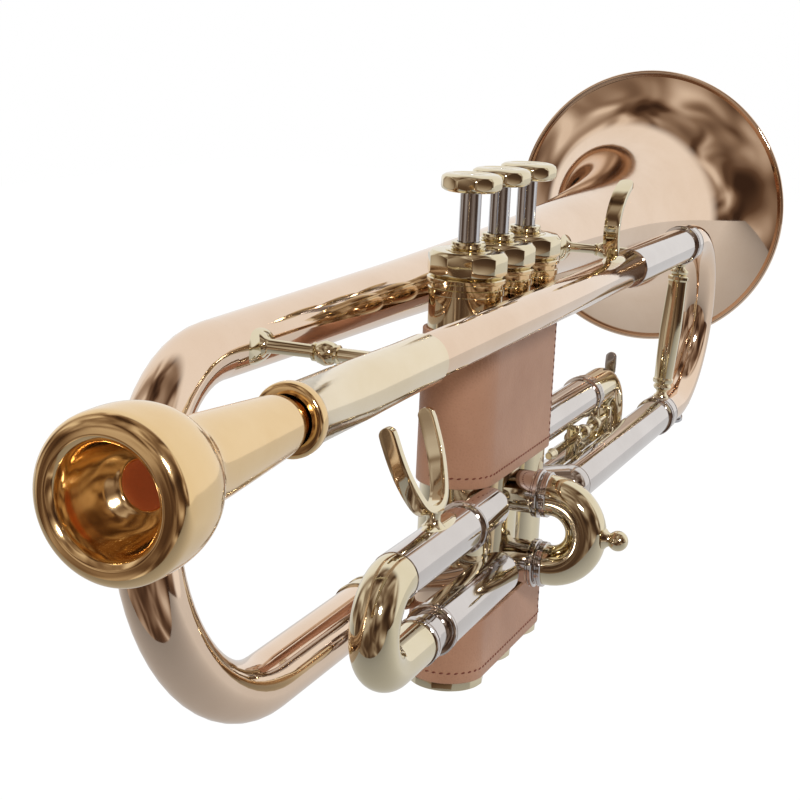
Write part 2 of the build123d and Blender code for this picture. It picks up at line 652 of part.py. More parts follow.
parts = {
    "mouthpiece": make_mouthpiece(),
    "receiver": make_receiver(),
    "leadpipe": make_leadpipe(),
    "upper_sleeve": make_upper_sleeve(),
    "lower_sleeve": make_lower_sleeve(),
    "valve_elbow": make_valve_elbow(),
    "bell": make_bell(),
    "bell_bow": make_bell_bow(),
    "bell_tail": make_bell_tail(),
    "front_brace": make_front_brace(),
    "rear_brace": make_rear_brace(),
    "pinky_hook": make_pinky_hook(),
    "leather_wrap": make_leather(),
    "slide_1_inner": make_s1_inner(),
    "slide_1_sleeve": make_s1_sleeve(),
    "slide_1_outer": make_s1_outer(),
    "slide_1_leg": make_s1_leg(),
    "slide_1_bow": make_s1_bow(),
    "thumb_saddle": make_thumb_saddle(),
    "slide_2_upper_sleeve": make_s2_sleeve(s2_up),
    "slide_2_lower_sleeve": make_s2_sleeve(s2_low),
    "slide_2_bow": make_s2_bow(),
    "slide_2_knob": make_s2_knob(),
    "slide_3_upper_sleeve": make_s3_sleeve(s3_up),
    "slide_3_lower_sleeve": make_s3_sleeve(s3_low),
    "slide_3_bow": make_s3_bow(),
    "slide_3_hook": make_s3_hook(),
    "slide_3_stop_rod": make_stop_rod(),
    "slide_3_lug": make_s3_lug(),
    "tuning_bow": make_tuning_bow(),
    "tuning_upper_leg": make_tuning_leg(upper_ring_x, lead_y, lead_z),
    "tuning_lower_leg": make_tuning_leg(lower_ring_x, low_y, low_z),
    "tuning_brace": make_tuning_brace(),
    "knurled_knob": make_knurled_knob(),
    "water_key_saddle": make_key_saddle(),
    "water_key": make_water_key(),
}
for n in valves:
    parts[f"casing_{n}"] = make_casing(n)
    parts[f"top_cap_{n}"] = make_top_cap(n)
    parts[f"bottom_cap_{n}"] = make_bottom_cap(n)
    parts[f"guide_{n}"] = make_guide(n)
    parts[f"piston_{n}"] = make_piston(n)
    parts[f"stem_{n}"] = make_stem(n)
    parts[f"spring_{n}"] = make_spring(n)
    if n < 3:
        parts[f"knuckle_{n}"] = make_knuckle(n)

for name, shape in parts.items():
    export_step(shape, f"parts/{name}.step")
    print(name, round(shape.volume), [round(v, 1) for v in shape.bounding_box().min],
          [round(v, 1) for v in shape.bounding_box().max])
print("key pivot", key_pivot(), "axis out", bow_outward(158))
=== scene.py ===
import bpy
import math
from mathutils import Matrix, Vector


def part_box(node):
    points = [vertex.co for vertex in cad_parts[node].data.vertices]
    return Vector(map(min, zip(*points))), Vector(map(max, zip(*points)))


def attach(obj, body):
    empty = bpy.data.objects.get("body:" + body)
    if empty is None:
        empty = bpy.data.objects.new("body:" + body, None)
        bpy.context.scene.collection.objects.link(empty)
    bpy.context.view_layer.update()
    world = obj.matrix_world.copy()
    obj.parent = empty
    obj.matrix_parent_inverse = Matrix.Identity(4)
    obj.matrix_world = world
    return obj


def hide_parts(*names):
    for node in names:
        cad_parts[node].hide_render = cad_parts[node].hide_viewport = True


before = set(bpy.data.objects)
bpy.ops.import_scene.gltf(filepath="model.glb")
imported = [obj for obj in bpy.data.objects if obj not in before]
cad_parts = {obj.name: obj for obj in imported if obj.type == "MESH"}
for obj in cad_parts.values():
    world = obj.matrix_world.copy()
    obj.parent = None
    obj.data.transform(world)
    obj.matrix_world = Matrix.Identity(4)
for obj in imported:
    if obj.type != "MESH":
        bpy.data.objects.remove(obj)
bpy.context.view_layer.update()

mm = 0.001
weldWithin = 0.000002
valveSpacing = 24.4


# small helpers
def hexColour(code):
    # sRGB hex to the linear colour that the shader wants
    parts = [int(code[i:i + 2], 16) / 255 for i in (1, 3, 5)]
    return tuple(c / 12.92 if c <= 0.04045 else ((c + 0.055) / 1.055) ** 2.4
                 for c in parts) + (1.0,)


def addNode(tree, kind, settings=None, links=None):
    # settings fill attributes or input sockets, links join another node's output to an input
    node = tree.nodes.new(kind)
    for key, value in (settings or {}).items():
        if isinstance(key, str) and hasattr(node, key):
            setattr(node, key, value)
        else:
            node.inputs[key].default_value = value
    for key, source in (links or {}).items():
        tree.links.new(source, node.inputs[key])
    return node


def deselectAll():
    if bpy.context.mode != "OBJECT":
        bpy.ops.object.mode_set(mode="OBJECT")
    bpy.ops.object.select_all(action="DESELECT")


def selectOnly(piece):
    deselectAll()
    piece.select_set(True)
    bpy.context.view_layer.objects.active = piece


def selectWhere(test, kind="VERT"):
    # picks vertices, edges or faces by place, in edit mode
    bpy.ops.mesh.select_mode(type=kind)
    bpy.ops.mesh.select_all(action="DESELECT")
    bpy.ops.object.mode_set(mode="OBJECT")
    mesh = bpy.context.object.data
    if kind == "VERT":
        for v in mesh.vertices:
            v.select = bool(test(v.co))
    elif kind == "EDGE":
        for e in mesh.edges:
            a, b = (mesh.vertices[i].co for i in e.vertices)
            e.select = bool(test(a, b))
    else:
        for p in mesh.polygons:
            p.select = bool(test(p.center, p.normal))
    bpy.ops.object.mode_set(mode="EDIT")


def applyPlace(piece):
    selectOnly(piece)
    bpy.ops.object.transform_apply(location=True, rotation=True, scale=True)


def editAll():
    bpy.ops.object.mode_set(mode="EDIT")
    bpy.ops.mesh.select_all(action="SELECT")


def addModifier(piece, kind, **settings):
    modifier = piece.modifiers.new(kind.title(), kind)
    for key, value in settings.items():
        setattr(modifier, key, value)
    selectOnly(piece)
    bpy.ops.object.modifier_apply(modifier=modifier.name)


def extrudeBy(shift):
    # pulls the selection out into new edges or faces, shift in metres
    bpy.ops.mesh.extrude_region_move(TRANSFORM_OT_translate={"value": tuple(shift)})


def weldMesh():
    # joins doubled points, turns the faces outward and leaves edit mode
    bpy.ops.mesh.select_all(action="SELECT")
    bpy.ops.mesh.remove_doubles(threshold=weldWithin)
    bpy.ops.mesh.normals_make_consistent(inside=False)
    bpy.ops.object.mode_set(mode="OBJECT")


def faceOutward(piece):
    selectOnly(piece)
    editAll()
    bpy.ops.mesh.normals_make_consistent(inside=False)
    bpy.ops.object.mode_set(mode="OBJECT")


def placeAlong(piece, direction, centre):
    # turns the piece's Z to direction and moves it to centre, in mm
    turn = Vector((0, 0, 1)).rotation_difference(Vector(direction).normalized())
    piece.rotation_mode = "QUATERNION"
    piece.rotation_quaternion = turn
    piece.location = Vector(centre) * mm
    applyPlace(piece)


def cutWith(piece, tool, operation):
    cut = piece.modifiers.new("Cut", "BOOLEAN")
    cut.operation, cut.object, cut.solver = operation, tool, "EXACT"
    selectOnly(piece)
    bpy.ops.object.modifier_apply(modifier=cut.name)
    bpy.data.objects.remove(tool)


def bevelEdges(piece, width, segments=2, angle=35):
    addModifier(piece, "BEVEL", width=width * mm, segments=segments, limit_method="ANGLE",
                angle_limit=math.radians(angle), harden_normals=False)


def finishPiece(piece, name, material, body, nodes=(), smooth=40):
    selectOnly(piece)
    bpy.ops.object.shade_smooth_by_angle(angle=math.radians(smooth))
    piece.name = name
    piece.data.name = name
    piece.data.materials.clear()
    piece.data.materials.append(material)
    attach(piece, body)
    if nodes:
        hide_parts(*nodes)
    return piece


def joinPieces(pieces):
    deselectAll()
    for piece in pieces:
        piece.select_set(True)
    bpy.context.view_layer.objects.active = pieces[0]
    bpy.ops.object.join()
    return bpy.context.object


def smoothOutline(points, steps=6):
    # a rounded line through the points, for turned shapes
    result = []
    for i in range(len(points) - 1):
        p0, p1 = points[max(i - 1, 0)], points[i]
        p2, p3 = points[i + 1], points[min(i + 2, len(points) - 1)]
        for k in range(steps):
            t = k / steps
            result.append(tuple(0.5 * ((2 * b) + (c - a) * t + (2 * a - 5 * b + 4 * c - d) * t * t
                                       + (3 * b - a - 3 * c + d) * t ** 3) for a, b, c,
                                d in zip(p0, p1, p2, p3)))
    result.append(tuple(points[-1]))
    return result


def turnPiece(outline, centre, direction, steps=64, closed=True, bevel=0, ridges=0):
    # outline is (distance along the axis, radius) in mm, spun round the axis at centre
    deselectAll()
    bpy.ops.mesh.primitive_plane_add(size=0.001, location=(0, 0, 0))
    editAll()
    bpy.ops.mesh.merge(type="CENTER")
    z, r = outline[0]
    bpy.ops.transform.translate(value=(r * mm, 0, z * mm))
    for (z0, r0), (z1, r1) in zip(outline, outline[1:]):
        extrudeBy(((r1 - r0) * mm, 0, (z1 - z0) * mm))
    bpy.ops.mesh.select_all(action="SELECT")
    if closed:
        # joins the outline's last point to its first
        bpy.ops.mesh.edge_face_add()
        bpy.ops.mesh.delete(type="ONLY_FACE")
        bpy.ops.mesh.select_all(action="SELECT")
    bpy.ops.mesh.spin(steps=steps, angle=2 * math.pi, center=(0, 0, 0), axis=(0, 0, 1))
    weldMesh()
    piece = bpy.context.object
    if ridges:
        # every second column of the widest part goes in a little, which gives knurling
        widest = max(r for z, r in outline) * mm
        for v in piece.data.vertices:
            turnOf = round(math.atan2(v.co.y, v.co.x) / (2 * math.pi) * steps)
            if turnOf % 2 and math.hypot(v.co.x, v.co.y) > widest * 0.9:
                v.co.x, v.co.y = v.co.x * (1 - ridges), v.co.y * (1 - ridges)
    placeAlong(piece, direction, centre)
    if bevel:
        bevelEdges(piece, bevel)
    return piece


def tubeThrough(radius, start, direction, moves, wall=0.6, sides=48):
    # a ring pulled along runs and turned round bends; a bend is (centre, axis, degrees)
    deselectAll()
    bpy.ops.mesh.primitive_circle_add(vertices=sides, radius=radius * mm, fill_type="NOTHING",
                                      location=(0, 0, 0))
    piece = bpy.context.object
    placeAlong(piece, direction, start)
    editAll()
    for move in moves:
        if move[0] == "run":
            extrudeBy(Vector(move[1]) * mm)
        else:
            centre, axis, degrees = move[1:]
            count = max(4, round(abs(degrees) / 6))
            bpy.ops.mesh.spin(steps=count, angle=math.radians(degrees),
                              center=tuple(Vector(centre) * mm),
                              axis=tuple(Vector(axis).normalized()))
    weldMesh()
    addModifier(piece, "SOLIDIFY", thickness=wall * mm, offset=-1)
    return piece


def uBend(radius, upper, lower, out, runUp, runLow, wall=0.6, sides=48):
    # two straight ends joined by a half circle that bulges along out
    upper, lower, out = Vector(upper), Vector(lower), Vector(out).normalized()
    axis = out.cross(upper - lower).normalized()
    start = upper - out * runUp
    moves = [("run", out * runUp)] if runUp else []
    moves.append(("bend", (upper + lower) / 2, axis, 180))
    if runLow:
        moves.append(("run", -out * runLow))
    return tubeThrough(radius, start, out, moves, wall, sides)


def ribbonPiece(points, width, thick, centre, lean=0):
    # a flat strip bent through points in the XZ plane, as wide as width along Y, with round ends
    half = width / 2
    points = [Vector((px, 0, pz)) for px, pz in points]
    shares = (0.0, 0.05, 0.2, 0.45, 0.7)
    front = [points[0] + (points[1] - points[0]).normalized() * half * k for k in shares]
    back = [points[-1] + (points[-2] - points[-1]).normalized() * half * k for k in shares]
    middle = [p for p in points if (p - points[0]).length > half * 0.95
              and (p - points[-1]).length > half * 0.95]
    line = front + middle + back[::-1]
    deselectAll()
    bpy.ops.mesh.primitive_plane_add(size=width * mm, location=(0, 0, 0), rotation=(0, 0, 0))
    bpy.ops.object.mode_set(mode="EDIT")
    selectWhere(lambda co: co.x > 0)
    bpy.ops.mesh.delete(type="VERT")
    bpy.ops.mesh.select_all(action="SELECT")
    bpy.ops.mesh.subdivide(number_cuts=3)
    bpy.ops.transform.translate(value=(half * mm + line[0].x * mm, 0, line[0].z * mm))
    for a, b in zip(line, line[1:]):
        extrudeBy((b - a) * mm)
    bpy.ops.object.mode_set(mode="OBJECT")
    piece = bpy.context.object
    for v in piece.data.vertices:
        flat = Vector((v.co.x, 0, v.co.z)) / mm
        away = min((flat - line[0]).length, (flat - line[-1]).length) / half
        if away < 1:
            v.co.y *= math.sqrt(max(0.004, 1 - (1 - away) ** 2))
    faceOutward(piece)
    addModifier(piece, "SOLIDIFY", thickness=thick * mm, offset=0)
    bevelEdges(piece, thick * 0.42, 3, 60)
    piece.rotation_euler = (math.radians(lean), 0, 0)
    piece.location = Vector(centre) * mm
    applyPlace(piece)
    return piece


def nutPiece(outline, centre, sides, flat, steps=80, turnBy=0):
    # a turned drum cut by a many-sided prism, so that each flat gets its arched top and bottom
    piece = turnPiece(outline, centre, (0, 0, 1), steps)
    deselectAll()
    bpy.ops.mesh.primitive_cylinder_add(vertices=sides,
                                        radius=flat * mm / math.cos(math.pi / sides), depth=0.1,
                                        location=(0, 0, 0), rotation=(0, 0, math.radians(turnBy)))
    prism = bpy.context.object
    prism.location = Vector(centre) * mm + Vector((0, 0, outline[0][0] * mm))
    applyPlace(prism)
    cutWith(piece, prism, "INTERSECT")
    bevelEdges(piece, 0.12, 2, 12)
    return piece


def trimToCasing(piece, x, radius=9.6):
    # cuts away what would reach inside a casing on the axis at x
    deselectAll()
    bpy.ops.mesh.primitive_cylinder_add(vertices=96, radius=radius * mm, depth=0.2,
                                        location=(x * mm, 0, 0))
    core = bpy.context.object
    applyPlace(core)
    cutWith(piece, core, "DIFFERENCE")


def copyTo(piece, shift):
    # a copy with its own mesh, moved by shift mm
    twin = piece.copy()
    twin.data = piece.data.copy()
    bpy.context.collection.objects.link(twin)
    twin.location = Vector(shift) * mm
    applyPlace(twin)
    return twin


def leafFoot(x, y, z, radius, halfLong, halfWide, direction, thick=0.9):
    # a thin leaf plate bent round a tube along X
    deselectAll()
    bpy.ops.mesh.primitive_circle_add(vertices=40, radius=mm, fill_type="NGON", location=(0, 0, 0))
    piece = bpy.context.object
    editAll()
    bpy.ops.transform.resize(value=(halfLong, halfWide, 1))
    for width in (0.22, 0.3, 0.35, 0.4):
        bpy.ops.mesh.inset(thickness=halfWide * mm * width * 0.55)
    bpy.ops.mesh.poke()
    bpy.ops.object.mode_set(mode="OBJECT")
    side = Vector(direction).cross(Vector((1, 0, 0)))
    for v in piece.data.vertices:
        angle = v.co.y / (radius * mm)
        along, lift = v.co.x, radius * mm
        rim = Vector((v.co.x / (halfLong * mm), v.co.y / (halfWide * mm))).length
        lift += thick * mm * (1 - 1.15 * rim ** 4)
        v.co = (Vector((x, y, z)) * mm + Vector((along, 0, 0))
                + Vector(direction) * (lift * math.cos(angle)) + side * (lift * math.sin(angle)))
    faceOutward(piece)
    return piece


def boxMm(node):
    # the CAD node's corners and its centre, in mm
    low, high = (Vector(v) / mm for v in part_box(node))
    return low, high, (low + high) / 2


# finishes
def newMaterial(name):
    material = bpy.data.materials.new(name)
    material.use_nodes = True
    return material, material.node_tree, material.node_tree.nodes["Principled BSDF"]


def setRamp(node, places, codes):
    for element, position, code in zip(node.color_ramp.elements, places, codes):
        element.position = position
        element.color = hexColour(code)


# a painted glow: emission that makes a part shine though it is no lamp
def addGlow(material, code, strength):
    shader = material.node_tree.nodes["Principled BSDF"]
    shader.inputs["Emission Color"].default_value = hexColour(code)
    shader.inputs["Emission Strength"].default_value = strength


def metalMaterial(name, colour, roughness, tarnish, wave=0.02, waveScale=160.0):
    # polished metal: slow colour drift, a faint buffing wave, fine wear in the gloss
    material, tree, shader = newMaterial(name)
    shader.inputs["Metallic"].default_value = 1.0
    place = addNode(tree, "ShaderNodeTexCoord")
    spot = {"Vector": place.outputs["Object"]}
    spots = addNode(tree, "ShaderNodeTexNoise", {"Scale": 38.0, "Detail": 4.0, "Roughness": 0.6},
                    spot)
    shade = addNode(tree, "ShaderNodeValToRGB", links={"Fac": spots.outputs["Fac"]})
    setRamp(shade, (0.35, 0.7), (tarnish, colour))
    tree.links.new(shade.outputs["Color"], shader.inputs["Base Color"])
    wear = addNode(tree, "ShaderNodeTexNoise", {"Scale": 900.0, "Detail": 2.0}, spot)
    gloss = addNode(tree, "ShaderNodeMapRange",
                    {"To Min": roughness * 0.7, "To Max": roughness * 1.5},
                    {"Value": wear.outputs["Fac"]})
    tree.links.new(gloss.outputs["Result"], shader.inputs["Roughness"])
    waves = addNode(tree, "ShaderNodeTexNoise", {"Scale": waveScale, "Detail": 3.0},
                    spot)
    bump = addNode(tree, "ShaderNodeBump", {"Strength": wave, "Distance": 0.0002},
                   {"Height": waves.outputs["Fac"]})
    tree.links.new(bump.outputs["Normal"], shader.inputs["Normal"])
    return material


# clear-lacquered rose brass: copper-rich, so a pinkish beige mirror
roseBrass = metalMaterial("lacqueredRoseBrass", "#efd7c0", 0.05, "#e9cfb6")
# clear-lacquered yellow brass: pale, slightly green gold
yellowBrass = metalMaterial("lacqueredYellowBrass", "#eadfc4", 0.055, "#e2d6b6")
# the receiver's unplated drawn brass: warmer and paler
receiverBrass = metalMaterial("lacqueredReceiverBrass", "#f0e2c6", 0.1, "#ead9b8")
# lacquered castings between the valves: deeper gold, as they mirror each other
castBrass = metalMaterial("lacqueredCastBrass", "#dcc48c", 0.08, "#cbb078", 0.03)
# gold-plated turned brass: its colour doubles inside the cup
goldPlate = metalMaterial("goldPlatedMouthpiece", "#f2d5a6", 0.1, "#ebca96", 0.03)
# the reamed throat is duller than the polished cup; its redder colour is painted, standing in for
# light reddened by many bounces down the bore
throatPlateWithPaintedGlow = metalMaterial("mouthpieceThroatPaintedGlow", "#e8a568", 0.42, "#cf8448", 0.05, 600.0)
# painted glow: a faint emission stands in for light bounced many times down the narrow bore
addGlow(throatPlateWithPaintedGlow, "#ab673c", 0.17)
# polished nickel silver: neutral, a touch warm
nickelSilver = metalMaterial("polishedNickelSilver", "#dcd7d4", 0.05, "#d3cdca", 0.015)
# ground stainless steel of the stems and screws: darker, drawn lengthways
groundSteel = metalMaterial("groundStainlessSteel", "#cfd0d4", 0.1, "#bdbec3", 0.05, 420.0)


def leatherMaterial():
    # vegetable-tanned calf, dyed pinkish tan and waxed: fine pores, slow mottling, low sheen
    values = {"poreScale": 1300.0, "creaseScale": 240.0, "mottleScale": 26.0, "roughness": 0.5}
    material, tree, shader = newMaterial("waxedCalfLeather")
    shader.inputs["Roughness"].default_value = values["roughness"]
    shader.inputs["Specular IOR Level"].default_value = 0.45
    shader.inputs["Sheen Weight"].default_value = 0.06
    place = addNode(tree, "ShaderNodeTexCoord")
    spot = {"Vector": place.outputs["Object"]}
    mottle = addNode(tree, "ShaderNodeTexNoise",
                     {"Scale": values["mottleScale"], "Detail": 6.0, "Roughness": 0.62}, spot)
    shade = addNode(tree, "ShaderNodeValToRGB", links={"Fac": mottle.outputs["Fac"]})
    setRamp(shade, (0.3, 0.72), ("#b5866a", "#c99c80"))
    pores = addNode(tree, "ShaderNodeTexVoronoi", {"Scale": values["poreScale"]}, spot)
    creases = addNode(tree, "ShaderNodeTexNoise", {"Scale": values["creaseScale"], "Detail": 5.0},
                      spot)
    darkPores = addNode(tree, "ShaderNodeMapRange",
                        {"From Max": 0.35, "To Min": 0.8, "To Max": 1.0},
                        {"Value": pores.outputs["Distance"]})
    tint = addNode(tree, "ShaderNodeMix", {"data_type": "RGBA", "blend_type": "MULTIPLY"})
    tint.inputs[0].default_value = 0.6
    tree.links.new(shade.outputs["Color"], tint.inputs[6])
    tree.links.new(darkPores.outputs["Result"], tint.inputs[7])
    tree.links.new(tint.outputs[2], shader.inputs["Base Color"])
    grain = addNode(tree, "ShaderNodeMath", {"operation": "ADD"},
                    {0: pores.outputs["Distance"], 1: creases.outputs["Fac"]})
    bump = addNode(tree, "ShaderNodeBump", {"Strength": 0.25, "Distance": 0.00025},
                   {"Height": grain.outputs["Value"]})
    tree.links.new(bump.outputs["Normal"], shader.inputs["Normal"])
    return material


calfLeather = leatherMaterial()


def fibreMaterial(name, colour, shadow, roughness, sheen=0.0):
    # thread: a fuzzy matt surface that mixes two tones
    material, tree, shader = newMaterial(name)
    shader.inputs["Roughness"].default_value = roughness
    shader.inputs["Sheen Weight"].default_value = sheen
    place = addNode(tree, "ShaderNodeTexCoord")
    spot = {"Vector": place.outputs["Object"]}
    fuzz = addNode(tree, "ShaderNodeTexNoise", {"Scale": 2500.0, "Detail": 3.0}, spot)
    shade = addNode(tree, "ShaderNodeMix", {"data_type": "RGBA"})
    tree.links.new(fuzz.outputs["Fac"], shade.inputs[0])
    shade.inputs[6].default_value = hexColour(colour)
    shade.inputs[7].default_value = hexColour(shadow)
    tree.links.new(shade.outputs[2], shader.inputs["Base Color"])
    bump = addNode(tree, "ShaderNodeBump", {"Strength": 0.3, "Distance": 0.0002},
                   {"Height": fuzz.outputs["Fac"]})
    tree.links.new(bump.outputs["Normal"], shader.inputs["Normal"])
    return material


# waxed linen thread, red-brown against the hide
linenThread = fibreMaterial("waxedLinenThread", "#8a4d3a", "#6a3526", 0.65)
print("finishes made")


# mouthpiece
mouthpieceShape = {"rim": 14.45, "crest": 10.9, "cupDepth": 12.4}
low, high, mid = boxMm("mouthpiece")
rim, crest, cupDepth = (mouthpieceShape[key] for key in ("rim", "crest", "cupDepth"))
outside = smoothOutline([(0.0, crest), (0.25, 12.2), (0.9, 13.3), (2.4, rim - 0.2), (5.0, rim),
                         (9.0, rim - 0.05), (12.5, rim - 0.5), (15.6, 13.0), (18.0, 11.6),
                         (20.2, 10.1), (23.0, 8.85), (26.5, 8.3), (34.0, 7.85), (48.0, 6.9),
                         (59.2, 6.1)], 4)
shank = [(59.8, 5.9), (60.4, 5.2), (61.0, 5.0), (63.0, 4.85), (71.5, 4.5)]
bore = [(71.5, 3.8), (33.0, 2.3), (26.0, 2.3), (22.0, 3.4), (16.0, 3.8)]
cup = smoothOutline([(cupDepth, 4.2), (12.0, 4.5), (11.4, 5.3), (9.8, 6.9), (7.4, 8.1), (4.8, 8.8),
                     (2.4, 9.2), (1.0, 9.7), (0.2, 10.5), (0.0, crest)], 5)
mouthpiece = turnPiece(outside + shank + bore + cup[:-1], (low.x, mid.y, mid.z), (1, 0, 0), 112)
finishPiece(mouthpiece, "mouthpieceBody", goldPlate, "mouthpiece", ["mouthpiece"], 30)
mouthpiece.data.materials.append(throatPlateWithPaintedGlow)
# everything narrow beyond the cup is the reamed throat, which gets the painted redder colour and
# painted glow
throatFrom = (low.x + cupDepth) * mm
for face in mouthpiece.data.polygons:
    away = math.hypot(face.center.y - mid.y * mm, face.center.z - mid.z * mm)
    if face.center.x > throatFrom and away < 4.2 * mm:
        face.material_index = 1

# receiver and leadpipe
low, high, mid = boxMm("receiver")
leadY, leadZ = mid.y, mid.z
length = high.x - low.x
bead = smoothOutline([(0.0, 6.3), (0.2, 7.0), (0.9, 7.5), (2.6, 7.5), (3.3, 7.2), (3.7, 6.75)], 4)
outline = bead + [(4.0, 6.62), (30, 6.5), (56, 6.1), (length - 0.3, 6.1), (length, 5.8),
                  (length, 5.5), (40, 5.5), (40, 4.65), (8.4, 4.7), (0.4, 5.1), (0.0, 5.4)]
receiver = turnPiece(outline, (low.x, leadY, leadZ), (1, 0, 0), 96)
finishPiece(receiver, "mouthpieceReceiver", receiverBrass, "horn", ["receiver"], 30)
beadEnd = (low.x + 3.9) * mm
receiver.data.materials.append(goldPlate)
for face in receiver.data.polygons:
    if face.center.x < beadEnd:
        face.material_index = 1

low, high, mid = boxMm("leadpipe")
leadRadius = mid.z - low.z
leadpipe = turnPiece([(0, leadRadius), (high.x - low.x, leadRadius), (high.x - low.x, 4.8),
                      (0, 4.8)], (low.x, leadY, leadZ), (1, 0, 0), 96, bevel=0.1)
finishPiece(leadpipe, "leadpipeTube", roseBrass, "horn", ["leadpipe"], 30)


# slide sleeves with their grooved end rings
sleeveShape = {"radius": 6.3, "ring": 7.15, "bore": 5.66, "ringLength": 2.2, "leg": 5.6,
               "legBore": 5.1}
legR, legBore = sleeveShape["leg"], sleeveShape["legBore"]


def sleeveOutline(length):
    # a plain tube with a grooved ring at its open end
    r, ring, bore = sleeveShape["radius"], sleeveShape["ring"], sleeveShape["bore"]
    at = length - sleeveShape["ringLength"]
    rings = [(at, r), (at + 0.1, ring - 0.25), (at + 0.35, ring), (at + 0.75, ring),
             (at + 0.85, ring - 0.4), (at + 1.05, ring - 0.4), (at + 1.15, ring), (at + 1.85, ring),
             (at + 2.1, ring - 0.25), (at + 2.2, ring - 0.5), (at + 2.2, bore)]
    return [(0, r - 0.15), (0.15, r)] + rings + [(0, bore)]


def sleevePiece(name, node, centre, direction, length, body, casingX=None):
    piece = turnPiece(sleeveOutline(length), centre, direction, 80)
    if casingX is not None:
        trimToCasing(piece, casingX)
    return finishPiece(piece, name, nickelSilver, body, [node], 30)


for name, node, plug in (("upperMainSleeve", "upper_sleeve", leadRadius),
                         ("lowerMainSleeve", "lower_sleeve", 0)):
    low, high, mid = boxMm(node)
    length = high.x - low.x
    outline = sleeveOutline(length)[:-1]
    if plug:
        outline += [(8.0, sleeveShape["bore"]), (8.0, plug), (0, plug)]
        piece = turnPiece(outline, (low.x, mid.y, mid.z), (1, 0, 0), 96)
    else:
        outline = [(0, 0)] + outline + [(14.0, sleeveShape["bore"]), (14.0, 0)]
        piece = turnPiece(outline, (low.x, mid.y, mid.z), (1, 0, 0), 96, closed=False)
    finishPiece(piece, name, nickelSilver, "horn", [node], 30)

low, high, s1Up = boxMm("slide_1_outer")
sleevePiece("firstSlideUpperSleeve", "slide_1_outer", (low.x, s1Up.y, s1Up.z), (1, 0, 0),
            high.x - low.x, "first_slide")
s1Back = low.x
lowA, highA = boxMm("slide_1_sleeve")[:2]
s1LowZ = lowA.z + sleeveShape["ring"]
s1Y = s1Up.y
# the fixed lower sleeve ends in a round cap in front, beside the first valve
length = highA.x - lowA.x
r = sleeveShape["radius"]
dome = [(length - r + r * math.sin(a),
         r * math.cos(a)) for a in (math.radians(6 * k) for k in range(16))]
ringPart = [(length - z, radius) for z, radius in reversed(sleeveOutline(length)[2:-2])]
outline = [(0, sleeveShape["bore"])] + ringPart[:-1] + dome + [(33.0, 0),
                                                               (33.0, sleeveShape["bore"])]
piece = turnPiece(outline, (lowA.x, s1Y, s1LowZ), (1, 0, 0), 80, closed=False)
trimToCasing(piece, -valveSpacing)
finishPiece(piece, "firstSlideLowerSleeve", nickelSilver, "horn", ["slide_1_sleeve"],
            30)

# the moving leg with its bright ferrule, then the bow
low, high, mid = boxMm("slide_1_leg")
length = high.x - low.x
ferrule = [(0, legR), (0, 6.3), (0.15, 6.5), (1.2, 6.5), (1.3, 6.3), (1.5, 6.3), (1.6, 6.5),
           (2.8, 6.5), (3.0, 6.3), (3.0, legR)]
leg = turnPiece(ferrule + [(length, legR), (length, legBore), (0, legBore)], (low.x, s1Y, s1LowZ),
                (1, 0, 0), 72)
finishPiece(leg, "firstSlideLeg", nickelSilver, "first_slide", ["slide_1_leg"], 30)
s1Centre = -97.0
s1Bow = uBend(6.1, (s1Centre, s1Y, s1Up.z), (s1Centre, s1Y, s1LowZ), (-1, 0, 0), s1Back - s1Centre,
              low.x - s1Centre, 0.9, 72)
finishPiece(s1Bow, "firstSlideBow", yellowBrass, "first_slide", ["slide_1_bow"])

# thumb saddle
saddleShape = {"half": 12.8, "high": 25.8, "x": -72.4, "lean": -20.0, "width": 4.4, "thick": 2.0,
               "strapRise": 9.3}
half, high = saddleShape["half"], saddleShape["high"]
corner = [(-half, high), (-half + 0.5, high - 9), (-half + 2.4, 10), (-6.2, 3.4), (0, 1.2),
          (6.2, 3.4), (half - 2.4, 10), (half - 0.5, high - 9), (half, high)]
strap = ribbonPiece(smoothOutline(corner, 5), saddleShape["width"], saddleShape["thick"],
                    (saddleShape["x"], s1Y, s1Up.z + saddleShape["strapRise"]), saddleShape["lean"])
post = turnPiece([(0, 0), (0, 3.0), (0.6, 2.4), (1.4, 1.8), (3.0, 1.8), (4.2, 2.6), (4.6, 2.6),
                  (4.6, 0)], (saddleShape["x"], s1Y, s1Up.z + sleeveShape["radius"]), (0, 0, 1), 32,
                 closed=False)
foot = leafFoot(saddleShape["x"] + 4, s1Y, s1Up.z, sleeveShape["radius"], 10.0, 3.4, (0, 0, 1))
saddle = joinPieces([strap, post, foot])
finishPiece(saddle, "thumbSaddle", yellowBrass, "first_slide", ["thumb_saddle"], 45)
print("first slide made")


# bell
bellShape = {"rim": 59.3, "front": 282.5, "flare": 19.6, "power": 0.7, "stem": 7.2, "wall": 0.6}
low, high, mid = boxMm("bell")
bellY, bellZ, bellBack = mid.y, mid.z, low.x


def flareRadius(x):
    depth = bellShape["front"] - x
    spread = bellShape["flare"] / (bellShape["flare"] + depth)
    return max(bellShape["rim"] * spread ** bellShape["power"], bellShape["stem"])


places = [bellShape["front"] - 0.9 - 300.0 * (k / 60) ** 2.6 for k in range(61)]
outer = [(x, flareRadius(x)) for x in places] + [(bellBack, bellShape["stem"])]
inner = [(x, r - bellShape["wall"]) for x, r in reversed(outer)]
rolled = [(bellShape["front"] - 0.9 + 1.0 * math.cos(a), bellShape["rim"] - 0.1 + 1.0 * math.sin(a))
          for a in (math.radians(d) for d in range(-80, 231, 25))]
profile = [(x - bellBack, r) for x, r in inner + rolled + outer[1:]]
bell = turnPiece(profile, (bellBack, bellY, bellZ), (1, 0, 0), 144)
finishPiece(bell, "bellFlare", roseBrass, "horn", ["bell"], 50)
